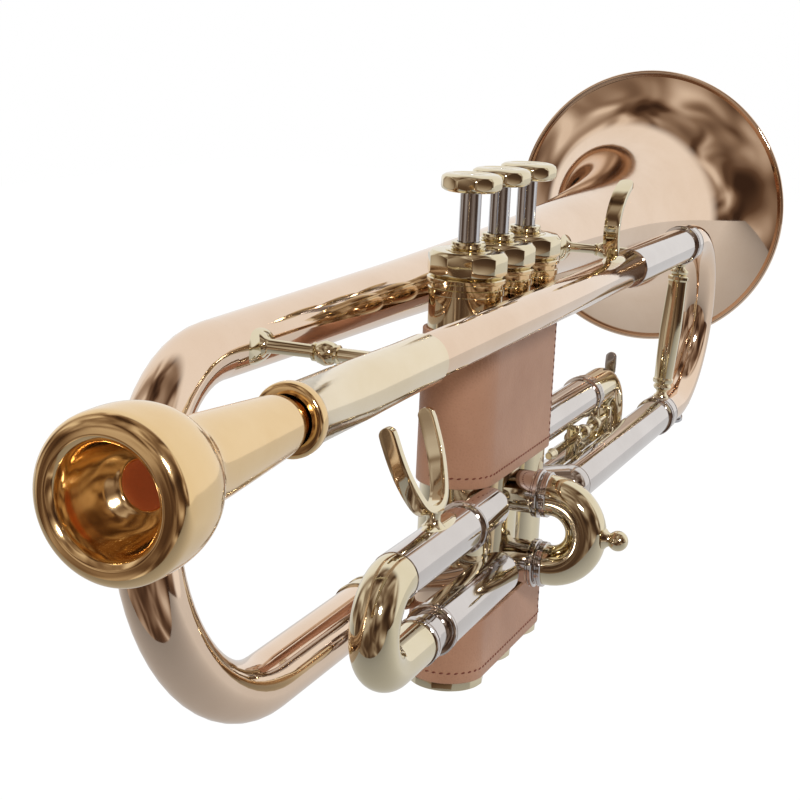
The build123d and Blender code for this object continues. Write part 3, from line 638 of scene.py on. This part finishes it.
# deep inside, a painted glow: a faint emission stands in for light that has bounced many times
boreBrassPaintedGlow = roseBrass.copy()
boreBrassPaintedGlow.name = "lacqueredRoseBrassBorePaintedGlow"
addGlow(boreBrassPaintedGlow, "#9a6a4c", 0.12)
bell.data.materials.append(boreBrassPaintedGlow)
# inward faces more than 30 mm behind the rim get the painted glow
for face in bell.data.polygons:
    away = Vector((0, face.center.y - bellY * mm, face.center.z - bellZ * mm))
    if away.dot(face.normal) < 0 and face.center.x < (bellShape["front"] - 30) * mm:
        face.material_index = 1

# the bow runs round at the back and on along the bottom as one tube
tailY, tailZ = 10.4, -28.6
stem, tailX = bellShape["stem"], boxMm("bell_bow")[1].x
bowTube = uBend(stem, (bellBack, bellY, bellZ), (bellBack, tailY, tailZ), (-1, 0, 0), 0,
                tailX - bellBack, bellShape["wall"], 80)
finishPiece(bowTube, "bellBow", roseBrass, "horn", ["bell_bow"])

# the tail turns into the first valve, behind a ferrule
ferrule = turnPiece([(0, stem), (0, 7.5), (0.3, 7.8), (1.6, 7.8), (1.8, 7.55), (6.2, 7.55),
                     (6.4, 7.8), (7.7, 7.8), (8.0, 7.5), (8.0, stem)],
                    (boxMm("bell_tail")[0].x, tailY, tailZ), (1, 0, 0), 72)
finishPiece(ferrule, "bellTailFerrule", yellowBrass, "horn", (), 30)
# known fault: the last run is too long and untrimmed, and crosses the first valve's bore
tailRun, tailTurn = 16.0, 14.0
turnCentre = (tailX + tailRun, tailY - tailTurn, tailZ)
tail = tubeThrough(stem, (tailX, tailY, tailZ), (1, 0, 0),
                   [("run", (tailRun, 0, 0)), ("bend", turnCentre, (0, 0, -1), -52),
                    ("run", (6.5, -8.3, 0))], bellShape["wall"], 64)
finishPiece(tail, "bellTail", roseBrass, "horn", ["bell_tail"])
print("bell made")

# main tuning slide
tuningShape = {"bow": 6.1, "centreX": 160.5, "ferrule": 6.9, "braceTopX": 151.0, "braceLowX": 146.0}
lowY, lowZ = boxMm("lower_sleeve")[2].y, boxMm("lower_sleeve")[2].z
bowX = tuningShape["centreX"]
upEnd, lowEnd = boxMm("tuning_upper_leg")[1].x, boxMm("tuning_lower_leg")[1].x
tuningBow = uBend(tuningShape["bow"], (bowX, leadY, leadZ), (bowX, lowY, lowZ), (1, 0, 0),
                  bowX - upEnd, bowX - lowEnd, 0.8, 72)
bowMiddle = Vector((bowX, (leadY + lowY) / 2, (leadZ + lowZ) / 2))
bowArm = Vector((0, leadY - lowY, leadZ - lowZ)) / 2


def bowPlace(angle):
    # a point on the bow's centre line, 0 at the top and 180 at the bottom, and the way out
    a = math.radians(angle)
    out = bowArm * math.cos(a) + Vector((bowArm.length, 0, 0)) * math.sin(a)
    return bowMiddle + out, out.normalized()


nippleAt, nippleOut = bowPlace(158)
nipple = turnPiece([(5.4, 0), (5.4, 3.6), (5.9, 3.3), (6.3, 3.0), (8.0, 2.7), (8.4, 2.4), (8.4, 0)],
                   nippleAt, nippleOut, 40, closed=False)
tuningBow = joinPieces([tuningBow, nipple])
finishPiece(tuningBow, "tuningBow", roseBrass, "tuning_slide", ["tuning_bow"])
ring = tuningShape["ferrule"]
for name, node, y, z in (("upperTuningLeg", "tuning_upper_leg", leadY, leadZ),
                         ("lowerTuningLeg", "tuning_lower_leg", lowY, lowZ)):
    low, high, mid = boxMm(node)
    length = high.x - low.x
    leg = turnPiece([(0, 5.5), (0.1, legR), (length - 6.4, legR), (length - 6.4, 6.6),
                     (length - 6.1, ring), (length - 1.6, ring), (length - 1.4, 6.65),
                     (length - 1.1, 6.65), (length - 0.9, ring), (length - 0.4, ring),
                     (length, 6.4), (length, legBore), (0, legBore)], (low.x, y, z), (1, 0, 0), 72)
    finishPiece(leg, name, nickelSilver, "tuning_slide", [node], 30)

# an eight-sided column stands between the ferrules on a neck and a ball at each end
braceTop = Vector((tuningShape["braceTopX"], leadY, leadZ))
braceLow = Vector((tuningShape["braceLowX"], lowY, lowZ))
axis = (braceLow - braceTop).normalized()
length = (braceLow - braceTop).length
knuckle = [(6.3, 0), (6.3, 2.9), (7.0, 2.7), (7.6, 2.1), (8.4, 1.8), (9.0, 2.2), (9.6, 3.0),
           (10.3, 3.35), (11.0, 3.1), (11.6, 2.6), (12.2, 2.4), (12.2, 0)]
column = [(11.6, 0), (11.6, 3.5), (12.2, 3.95), (13.2, 3.95), (13.8, 3.55), (20.0, 3.75),
          (length / 2, 4.1), (length - 20.0, 3.75), (length - 13.8, 3.5), (length - 13.2, 3.9),
          (length - 12.2, 3.9), (length - 11.6, 3.4), (length - 11.6, 0)]
upper = turnPiece(knuckle, braceTop, axis, 36, closed=False)
lower = turnPiece(knuckle, braceLow, -axis, 36, closed=False)
middle = turnPiece(column, braceTop, axis, 8, closed=False, bevel=0.15)
brace = joinPieces([middle, upper, lower])
finishPiece(brace, "tuningBrace", yellowBrass, "tuning_slide", ["tuning_brace"], 25)

knobAt, knobOut = bowPlace(122)
knob = turnPiece([(5.2, 0), (5.2, 2.0), (5.8, 1.5), (8.6, 1.5), (8.6, 2.6), (9.1, 3.1), (12.6, 3.1),
                  (13.2, 2.5), (13.2, 0)], knobAt, knobOut, 44, closed=False, ridges=0.07)
finishPiece(knob, "knurledKnob", groundSteel, "tuning_slide", ["knurled_knob"], 20)
print("tuning slide made")


# second slide
def slideLegs(name, outline, places, direction, body):
    legs = [turnPiece(outline, place, direction, 72) for place in places]
    finishPiece(joinPieces(legs), name, nickelSilver, body, (), 30)


secondShape = {"centreY": -21.6, "bow": 6.0}
for name, node in (("secondSlideUpperSleeve", "slide_2_upper_sleeve"),
                   ("secondSlideLowerSleeve", "slide_2_lower_sleeve")):
    low, high, mid = boxMm(node)
    sleevePiece(name, node, (0, -6.0, mid.z), (0, -1, 0), -6.0 - low.y, "horn", 0.0)
s2Up = boxMm("slide_2_upper_sleeve")[2].z
s2Low = boxMm("slide_2_lower_sleeve")[2].z
ringY = boxMm("slide_2_upper_sleeve")[0].y
bowY = secondShape["centreY"]
run = ringY - 1.6 - bowY
s2Bow = uBend(secondShape["bow"], (0, bowY, s2Up), (0, bowY, s2Low), (0, -1, 0), run, run, 0.9, 72)
finishPiece(s2Bow, "secondSlideBow", yellowBrass, "second_slide", ["slide_2_bow"])
outline = [(0, legBore), (0, legR), (-ringY - 10.2, legR), (-ringY - 10.2, 6.5),
           (-ringY - 10.0, 6.75), (-ringY - 9.5, 6.75), (-ringY - 9.4, 6.5), (-ringY - 9.2, 6.5),
           (-ringY - 9.1, 6.7), (-ringY - 8.5, 6.7), (-ringY - 8.3, 6.4), (-ringY - 8.3, legBore)]
slideLegs("secondSlideLegs", outline, [(0, -10.8, z) for z in (s2Up, s2Low)], (0, -1, 0),
          "second_slide")
knobAt = (0, bowY - (s2Up - s2Low) / 2 - secondShape["bow"], (s2Up + s2Low) / 2)
ballPart = [(3.6 + 3.0 * math.sin(a),
             3.0 * math.cos(a)) for a in (math.radians(d) for d in range(-50, 91, 10))]
knob = turnPiece([(-0.6, 0), (-0.6, 3.3), (0.0, 2.9), (0.5, 2.3), (1.1, 2.0)] + ballPart, knobAt,
                 (0, -1, 0), 48, closed=False)
finishPiece(knob, "secondSlideKnob", yellowBrass, "second_slide", ["slide_2_knob"],
            40)

# third slide
thirdShape = {"centreX": 109.5, "bow": 6.0, "y": -3.6}
s3Y = thirdShape["y"]
for name, node in (("thirdSlideUpperSleeve", "slide_3_upper_sleeve"),
                   ("thirdSlideLowerSleeve", "slide_3_lower_sleeve")):
    low, high, mid = boxMm(node)
    sleevePiece(name, node, (low.x, s3Y, mid.z), (1, 0, 0), high.x - low.x, "horn", valveSpacing)
    ringX = high.x
s3Up, s3Low = boxMm("slide_3_upper_sleeve")[2].z, boxMm("slide_3_lower_sleeve")[2].z
run = thirdShape["centreX"] - ringX - 0.8
s3Bow = uBend(thirdShape["bow"], (thirdShape["centreX"], s3Y, s3Up),
              (thirdShape["centreX"], s3Y, s3Low), (1, 0, 0), run, run, 0.9, 72)
middleZ = (s3Up + s3Low) / 2
nut = turnPiece([(-0.6, 0), (-0.6, 2.0), (0.4, 1.6), (0.5, 2.6), (0.8, 2.8), (2.4, 2.8), (2.8, 2.4),
                 (3.0, 0)], (thirdShape["centreX"] + (s3Up - s3Low) / 2 + thirdShape["bow"], s3Y,
                             middleZ), (1, 0, 0), 32, closed=False)
finishPiece(joinPieces([s3Bow, nut]), "thirdSlideBow", yellowBrass, "third_slide", ["slide_3_bow"])
outline = [(0, legBore), (0, legR), (ringX - 45.2, legR), (ringX - 45.2, 6.55), (ringX - 45.0, 6.8),
           (ringX - 44.2, 6.8), (ringX - 44.1, 6.5), (ringX - 43.9, 6.5), (ringX - 43.8, 6.8),
           (ringX - 42.4, 6.8), (ringX - 42.2, 6.5), (ringX - 42.2, legBore)]
slideLegs("thirdSlideLegs", outline, [(46.0, s3Y, z) for z in (s3Up, s3Low)], (1, 0, 0),
          "third_slide")

# the finger blade: a flat grey tongue with a round top
low, high, mid = boxMm("slide_3_hook")
bladeHigh = high.z - (s3Up + 2.0)
blade = ribbonPiece([(0, 0), (0, bladeHigh * 0.5), (0.15, bladeHigh)], high.y - low.y, 1.4,
                    (122.6, s3Y, s3Up + 1.2))
finishPiece(blade, "thirdSlideBlade", groundSteel, "third_slide", ["slide_3_hook"], 45)

# the stop rod has a small nut behind the lug and two larger ones in front; (place, radius) in mm
rodY, rodZ = s3Y - 5.0, -6.3
outline = [(0, 0), (0, 1.0), (0.2, 1.2)]
for at, r in ((4.0, 1.8), (38.0, 2.5), (51.0, 2.5)):
    outline += [(at - r - 0.3, 1.2), (at - r - 0.3, 1.9)] if r > 2.2 else []
    reach = math.degrees(math.acos(1.5 / r))
    outline += [(at + r * math.sin(a), r * math.cos(a)) for a in
                (math.radians(reach * k / 7) for k in range(-7, 8))]
    outline += [(at + r + 0.3, 1.9), (at + r + 0.3, 1.2)] if r > 2.2 else []
outline += [(66.0, 1.2), (66.0, 0)]
rod = turnPiece(outline, (36.0, rodY, rodZ), (1, 0, 0), 32, closed=False)
finishPiece(rod, "thirdSlideStopRod", yellowBrass, "third_slide", ["slide_3_stop_rod"],
            35)


def platePiece(x0, x1, y0, y1, z0, z1, bevel=0.35):
    deselectAll()
    bpy.ops.mesh.primitive_cube_add(size=mm, location=Vector(((x0 + x1) / 2, (y0 + y1) / 2,
                                                              (z0 + z1) / 2)) * mm,
                                    scale=(x1 - x0, y1 - y0, z1 - z0))
    piece = bpy.context.object
    applyPlace(piece)
    bevelEdges(piece, bevel, 3, 30)
    return piece


# the lug has no hole, so the rod passes through its plate
arm = platePiece(100.0, 102.6, rodY - 2.0, rodY + 2.4, s3Low + 5.2, s3Up - 5.2, 0.8)
finishPiece(arm, "stopRodArm", yellowBrass, "third_slide", (), 40)
lug = platePiece(61.5, 63.1, rodY - 2.2, rodY + 2.2, s3Low + 4.2, s3Up - 4.2, 0.5)
boss = turnPiece([(0.1, 1.5), (0.1, 2.6), (0.3, 2.9), (1.5, 2.9), (1.7, 2.6), (1.7, 1.5)],
                 (61.5, rodY, rodZ), (1, 0, 0), 32)
finishPiece(joinPieces([lug, boss]), "stopRodLug", yellowBrass, "horn", ["slide_3_lug"],
            40)
print("second and third slides made")


# valves
valveShape = {"casing": 10.2, "casingBore": 8.9, "capFlat": 10.65, "bottomFlat": 10.75,
              "buttonFlat": 8.2}
casingBase, base = boxMm("casing_2")[0].z, boxMm("bottom_cap_2")[0].z
top, capEnd = (corner.z for corner in boxMm("top_cap_2")[:2])
stemBase, tip = (corner.z for corner in boxMm("stem_2")[:2])
r, boreR = valveShape["casing"], valveShape["casingBore"]
casing = turnPiece([(casingBase, r - 0.2), (casingBase + 0.2, r), (top - 3.4, r),
                    (top - 3.2, r + 0.35), (top - 1.6, r + 0.35), (top - 1.4, r), (top, r),
                    (top, boreR), (casingBase, boreR)], (0, 0, 0), (0, 0, 1), 96)
nut = nutPiece([(top + 1.4, 3.4), (top + 1.4, 9.9), (top + 2.9, 11.15), (capEnd - 3.8, 11.15),
                (capEnd - 2.4, 9.9), (capEnd - 2.4, 3.4)], (0, 0, 0), 10, valveShape["capFlat"], 90,
               9)
collar = turnPiece([(top, 3.4), (top, 10.6), (top + 0.25, 10.95), (top + 1.15, 10.95),
                    (top + 1.4, 10.6), (top + 1.4, 3.4)], (0, 0, 0), (0, 0, 1), 90)
neck = turnPiece([(capEnd - 2.6, 3.2), (capEnd - 2.6, 6.4), (capEnd - 2.2, 6.2),
                  (capEnd - 2.0, 4.7), (capEnd - 1.75, 4.5), (capEnd - 1.6, 4.9),
                  (capEnd - 1.3, 4.9), (capEnd - 1.2, 4.4), (capEnd - 0.9, 4.4),
                  (capEnd - 0.8, 4.75), (capEnd - 0.2, 4.7), (capEnd, 4.4), (capEnd, 3.2)],
                 (0, 0, 0), (0, 0, 1), 64)
topCap = joinPieces([nut, collar, neck])
bottomCap = nutPiece([(base, 2.2), (base, 8.6), (base + 0.8, 10.6), (base + 1.2, 11.1),
                      (base + 4.2, 11.1), (base + 5.0, 10.5), (base + 5.5, 10.4), (base + 5.5, 8.2),
                      (base + 2.0, 8.0), (base + 2.0, 2.2)], (0, 0, 0), 12,
                     valveShape["bottomFlat"], 96, 0)
stem = turnPiece([(stemBase, 0), (stemBase, 7.1), (stemBase + 0.3, 7.2), (stemBase + 2.4, 7.2),
                  (stemBase + 2.4, 2.95), (tip - 4.6, 2.95), (tip - 4.6, 0)], (0, 0, 0), (0, 0, 1),
                 56, closed=False)
buttonLow = tip - 5.1
button = nutPiece([(buttonLow, 0.5), (buttonLow, 6.3), (buttonLow + 0.25, 7.2),
                   (buttonLow + 0.8, 8.1), (buttonLow + 1.5, 8.5), (tip - 1.7, 8.5),
                   (tip - 0.8, 8.1), (tip - 0.25, 7.2), (tip - 0.05, 6.2), (tip - 0.05, 5.4),
                   (tip - 0.25, 5.0), (tip - 0.2, 0.5)], (0, 0, 0), 10, valveShape["buttonFlat"],
                  90, 9)
models = ((casing, "casing", yellowBrass, "yellow_brass"),
          (topCap, "topCap", yellowBrass, "yellow_brass"),
          (bottomCap, "bottomCap", yellowBrass, "yellow_brass"),
          (stem, "stem", groundSteel, "steel"), (button, "button", yellowBrass, "yellow_brass"))
nodeOf = {"casing": "casing_{}", "topCap": "top_cap_{}", "bottomCap": "bottom_cap_{}",
          "stem": "stem_{}"}
valveBody = {"stem", "button"}
# known fault: the third pieces are copied after the second are finished, so all but the
# button name the second's node too
for model, kind, material, slot in models:
    for n in (1, 2, 3):
        piece = model if n == 2 else copyTo(model, ((n - 2) * valveSpacing, 0, 0))
        nodes = [nodeOf[kind].format(n)] if kind in nodeOf else []
        body = f"valve_{n}" if kind in valveBody else "horn"
        finishPiece(piece, f"{kind}{n}", material, body, nodes, 28)
print("valves made")


# braces and little finger hook
def bracePiece(name, node, x, pipeRadius, bellRadius):
    start, end = leadY + pipeRadius, bellY - bellRadius
    half = (end - start) / 2
    outline = [(-0.4, 0), (-0.4, 3.4), (0.4, 3.0), (1.2, 2.1), (2.2, 1.7), (half - 3.4, 1.6),
               (half - 3.2, 2.2), (half - 2.6, 2.2), (half - 2.4, 1.8), (half - 1.8, 2.5),
               (half, 3.0), (half + 1.8, 2.5), (half + 2.4, 1.8), (half + 2.6, 2.2),
               (half + 3.2, 2.2), (half + 3.4, 1.6), (2 * half - 2.2, 1.7), (2 * half - 1.2, 2.1),
               (2 * half - 0.4, 3.0), (2 * half + 0.6, 3.4), (2 * half + 0.6, 0)]
    z = (bellZ + leadZ) / 2
    rod = turnPiece(outline, (x, start, z), (0, 1, 0), 40, closed=False)
    feet = [leafFoot(x, leadY, leadZ, pipeRadius, 7.0, 4.4, (0, 1, 0)),
            leafFoot(x, bellY, bellZ, bellRadius, 7.0, 5.0, (0, -1, 0))]
    brace = joinPieces([rod] + feet)
    return finishPiece(brace, name, yellowBrass, "horn", [node], 45)


bracePiece("frontBrace", "front_brace", 116.0, 6.3, flareRadius(116.0))
bracePiece("rearBrace", "rear_brace", -109.0, 6.1, flareRadius(-109.0))

hookLine = smoothOutline([(52.0, 6.3), (49.6, 10.0), (49.0, 15.0), (51.6, 21.0), (57.0, 25.6),
                          (64.0, 28.6)], 6)
hook = ribbonPiece(hookLine, 4.7, 1.9, (0, leadY, leadZ))
hookFoot = leafFoot(54.0, leadY, leadZ, leadRadius, 9.0, 3.4, (0, 0, 1))
finishPiece(joinPieces([hook, hookFoot]), "littleFingerHook", yellowBrass, "horn", ["pinky_hook"],
            45)
print("braces and hook made")


# leather wrap
wrapShape = {"radius": 11.4, "thick": 1.2, "top": 43.0, "windowTop": -0.5, "windowLow": -40.0,
             "bottom": -57.7, "stitchInset": 3.2, "stitchStep": 2.1}
outerR, inset = wrapShape["radius"], wrapShape["stitchInset"]
deselectAll()
bpy.ops.mesh.primitive_circle_add(vertices=64, radius=outerR * mm, fill_type="NOTHING",
                                  location=(0, 0, 0))
wrap = bpy.context.object
editAll()
bpy.ops.transform.translate(value=(0, 0, wrapShape["bottom"] * mm))
for side in (-1, 1):
    selectWhere(lambda co: co.x * side > 0.00001)
    bpy.ops.transform.translate(value=(side * valveSpacing * mm, 0, 0))
selectWhere(lambda a, b: (a - b).length > 5 * mm, "EDGE")
bpy.ops.mesh.subdivide(number_cuts=11)
levels = [wrapShape["bottom"], wrapShape["bottom"] + 5, wrapShape["windowLow"] - 5,
          wrapShape["windowLow"], -30, -20, -10, wrapShape["windowTop"], 5, 14, 24, 34, 40,
          wrapShape["top"]]
bpy.ops.mesh.select_all(action="SELECT")
for z0, z1 in zip(levels, levels[1:]):
    extrudeBy((0, 0, (z1 - z0) * mm))
selectWhere(lambda c, n: wrapShape["windowLow"] * mm < c.z < wrapShape["windowTop"] * mm
            and not (c.y > 6 * mm and -8 * mm < c.x < 30 * mm), "FACE")
bpy.ops.mesh.delete(type="FACE")
bpy.ops.mesh.select_all(action="SELECT")
bpy.ops.mesh.normals_make_consistent(inside=False)
bpy.ops.object.mode_set(mode="OBJECT")
addModifier(wrap, "SOLIDIFY", thickness=wrapShape["thick"] * mm, offset=-1)
bevelEdges(wrap, 0.3, 3, 50)
finishPiece(wrap, "leatherWrap", calfLeather, "horn", ["leather_wrap"], 45)


def wrapPlace(along):
    # a point on the wrap's right side, along mm forward of its middle, and the way out there
    if abs(along) <= valveSpacing:
        return Vector((along, -outerR, 0)), Vector((0, -1, 0))
    side = 1 if along > 0 else -1
    a = (abs(along) - valveSpacing) / outerR
    out = Vector((side * math.sin(a), -math.cos(a), 0))
    return Vector((side * valveSpacing, 0, 0)) + out * outerR, out


deselectAll()
bpy.ops.mesh.primitive_uv_sphere_add(segments=10, ring_count=6, radius=mm, location=(0, 0, 0))
stitch = bpy.context.object
stitch.scale = (0.62, 0.26, 0.2)
applyPlace(stitch)
stitchAt = []
reach = valveSpacing + outerR * 1.9
count = int(2 * reach / wrapShape["stitchStep"])
for k in range(count + 1):
    along = -reach + 2 * reach * k / count
    for z in (wrapShape["windowTop"] + inset, wrapShape["bottom"] + inset):
        stitchAt.append((along, z, False))
seamAt = valveSpacing + 1.2
for z0, z1 in ((wrapShape["windowTop"] + inset, wrapShape["top"] - inset),
               (wrapShape["bottom"] + inset, wrapShape["windowLow"] - inset)):
    count = int((z1 - z0) / wrapShape["stitchStep"])
    for k in range(1, count):
        stitchAt.append((seamAt, z0 + (z1 - z0) * k / count, True))
stitches = []
for along, z, upright in stitchAt:
    at, out = wrapPlace(along)
    ahead = out.cross(Vector((0, 0, 1)))
    run = Vector((0, 0, 1)) if upright else ahead
    across = out.cross(run)
    lean = (run + across * 0.22).normalized()
    twin = stitch.copy()
    twin.data = stitch.data.copy()
    bpy.context.collection.objects.link(twin)
    turn = Matrix((lean, out.cross(lean), out)).transposed().to_4x4()
    twin.matrix_world = Matrix.Translation((at + Vector((0, 0, z)) + out * 0.05) * mm) @ turn
    stitches.append(twin)
bpy.data.objects.remove(stitch)
seam = joinPieces(stitches)
applyPlace(seam)
finishPiece(seam, "wrapStitches", linenThread, "horn", (), 60)
print("leather wrap made")

# materials of the CAD nodes that stay
kept = {"valve_elbow": nickelSilver, "slide_1_inner": nickelSilver, "water_key_saddle": yellowBrass,
        "water_key": groundSteel, "knuckle_1": castBrass, "knuckle_2": castBrass}
for n in (1, 2, 3):
    kept.update({f"guide_{n}": castBrass, f"piston_{n}": nickelSilver, f"spring_{n}": groundSteel})
for node, material in kept.items():
    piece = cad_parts[node]
    if not piece.data.materials:
        piece.data.materials.append(material)
    for slotIndex in range(len(piece.material_slots)):
        piece.material_slots[slotIndex].material = material


# studio
studio = {"floorZ": -0.34, "floorSize": 5.0, "floorX": 2.05, "bright": 0.92}
deselectAll()
bpy.ops.mesh.primitive_plane_add(size=1, location=(0, 0, studio["floorZ"]))
floor = bpy.context.object
editAll()
bpy.ops.transform.resize(value=(studio["floorSize"], studio["floorSize"], 1))
bpy.ops.transform.translate(value=(studio["floorX"], 0, 0))
bpy.ops.object.mode_set(mode="OBJECT")
floor.name = "floor"
paper, tree, paperShader = newMaterial("whitePaperSweep")
paperShader.inputs["Base Color"].default_value = hexColour("#4c4c4e")
paperShader.inputs["Roughness"].default_value = 0.9
paperShader.inputs["Emission Color"].default_value = hexColour("#ffffff")
place = addNode(tree, "ShaderNodeTexCoord")
split = addNode(tree, "ShaderNodeSeparateXYZ", links={"Vector": place.outputs["Object"]})
# the paper dims towards its back edge, and lights the metal less than it shows
fade = addNode(tree, "ShaderNodeMapRange", {"From Min": -0.45, "From Max": 0.5, "To Min": 0.2,
                                            "To Max": 0.62}, {"Value": split.outputs["X"]})
sight = addNode(tree, "ShaderNodeLightPath")
shine = addNode(tree, "ShaderNodeMix", {"data_type": "FLOAT"})
tree.links.new(sight.outputs["Is Camera Ray"], shine.inputs[0])
tree.links.new(fade.outputs["Result"], shine.inputs[2])
shine.inputs[3].default_value = 0.95
tree.links.new(shine.outputs[0], paperShader.inputs["Emission Strength"])
floor.data.materials.append(paper)

world = bpy.data.worlds.new("studioRoom")
bpy.context.scene.world = world
world.use_nodes = True
tree = world.node_tree
background = tree.nodes["Background"]
place = addNode(tree, "ShaderNodeTexCoord")
split = addNode(tree, "ShaderNodeSeparateXYZ", links={"Vector": place.outputs["Generated"]})
# white paper ahead, the darker room behind and above
ahead = addNode(tree, "ShaderNodeMapRange", {"interpolation_type": "SMOOTHSTEP", "From Min": 0.22,
                                             "From Max": 0.42}, {"Value": split.outputs["X"]})
shapes = addNode(tree, "ShaderNodeTexNoise", {"Scale": 1.9, "Detail": 1.0, "Distortion": 0.6},
                 {"Vector": place.outputs["Generated"]})
room = addNode(tree, "ShaderNodeValToRGB", links={"Fac": shapes.outputs["Fac"]})
setRamp(room, (0.3, 0.72), ("#3b2b22", "#e6ddd3"))
for position, code in ((0.42, "#5f4a3b"), (0.52, "#8f7c6c"), (0.6, "#b3a496")):
    room.color_ramp.elements.new(position).color = hexColour(code)
tone = addNode(tree, "ShaderNodeMix", {"data_type": "RGBA"})
tree.links.new(ahead.outputs["Result"], tone.inputs[0])
tree.links.new(room.outputs["Color"], tone.inputs[6])
tone.inputs[7].default_value = (studio["bright"], studio["bright"] * 0.985, studio["bright"] * 0.97,
                                1)
sight = addNode(tree, "ShaderNodeLightPath")
mix = addNode(tree, "ShaderNodeMix", {"data_type": "RGBA"})
tree.links.new(sight.outputs["Is Camera Ray"], mix.inputs[0])
tree.links.new(tone.outputs[2], mix.inputs[6])
mix.inputs[7].default_value = (1, 1, 1, 1)
tree.links.new(mix.outputs[2], background.inputs["Color"])

lights = {
    "leftSoftbox": {"place": (-0.9, 0.75, 1.0), "size": 0.4, "power": 5, "seen": False},
    "rightSoftbox": {"place": (-1.15, -0.85, 0.75), "size": 0.26, "power": 11, "seen": True},
    "topSoftbox": {"place": (0.2, -0.5, 1.4), "size": 0.3, "power": 3, "seen": False},
}
for name, values in lights.items():
    bpy.ops.object.light_add(type="AREA", location=values["place"])
    lamp = bpy.context.object
    lamp.name = name
    lamp.data.size = values["size"]
    lamp.data.energy = values["power"]
    lamp.data.shape = "DISK"
    lamp.visible_glossy = values["seen"]  # only one lamp makes highlights
    lamp.rotation_mode = "QUATERNION"
    aim = Vector((0.03, 0, 0)) - Vector(values["place"])
    lamp.rotation_quaternion = aim.to_track_quat("-Z", "Y")

cameraShape = {"place": (-0.44593, -0.15314, 0.12372), "right": (0.3853, -0.9218, 0.0441),
               "forward": (0.9033, 0.367, -0.222), "lens": 74.0, "sensor": 36.0, "nearest": 0.01}
bpy.ops.object.camera_add()
camera = bpy.context.object
right = Vector(cameraShape["right"]).normalized()
forward = Vector(cameraShape["forward"]).normalized()
right = (right - forward * right.dot(forward)).normalized()
up = right.cross(forward)
turn = Matrix((right, up, -forward)).transposed().to_4x4()
camera.matrix_world = Matrix.Translation(cameraShape["place"]) @ turn
camera.data.lens = cameraShape["lens"]
camera.data.sensor_width = cameraShape["sensor"]
camera.data.clip_start = cameraShape["nearest"]
bpy.context.scene.camera = camera
bpy.context.scene.view_settings.view_transform = "Standard"

print("scene ready")
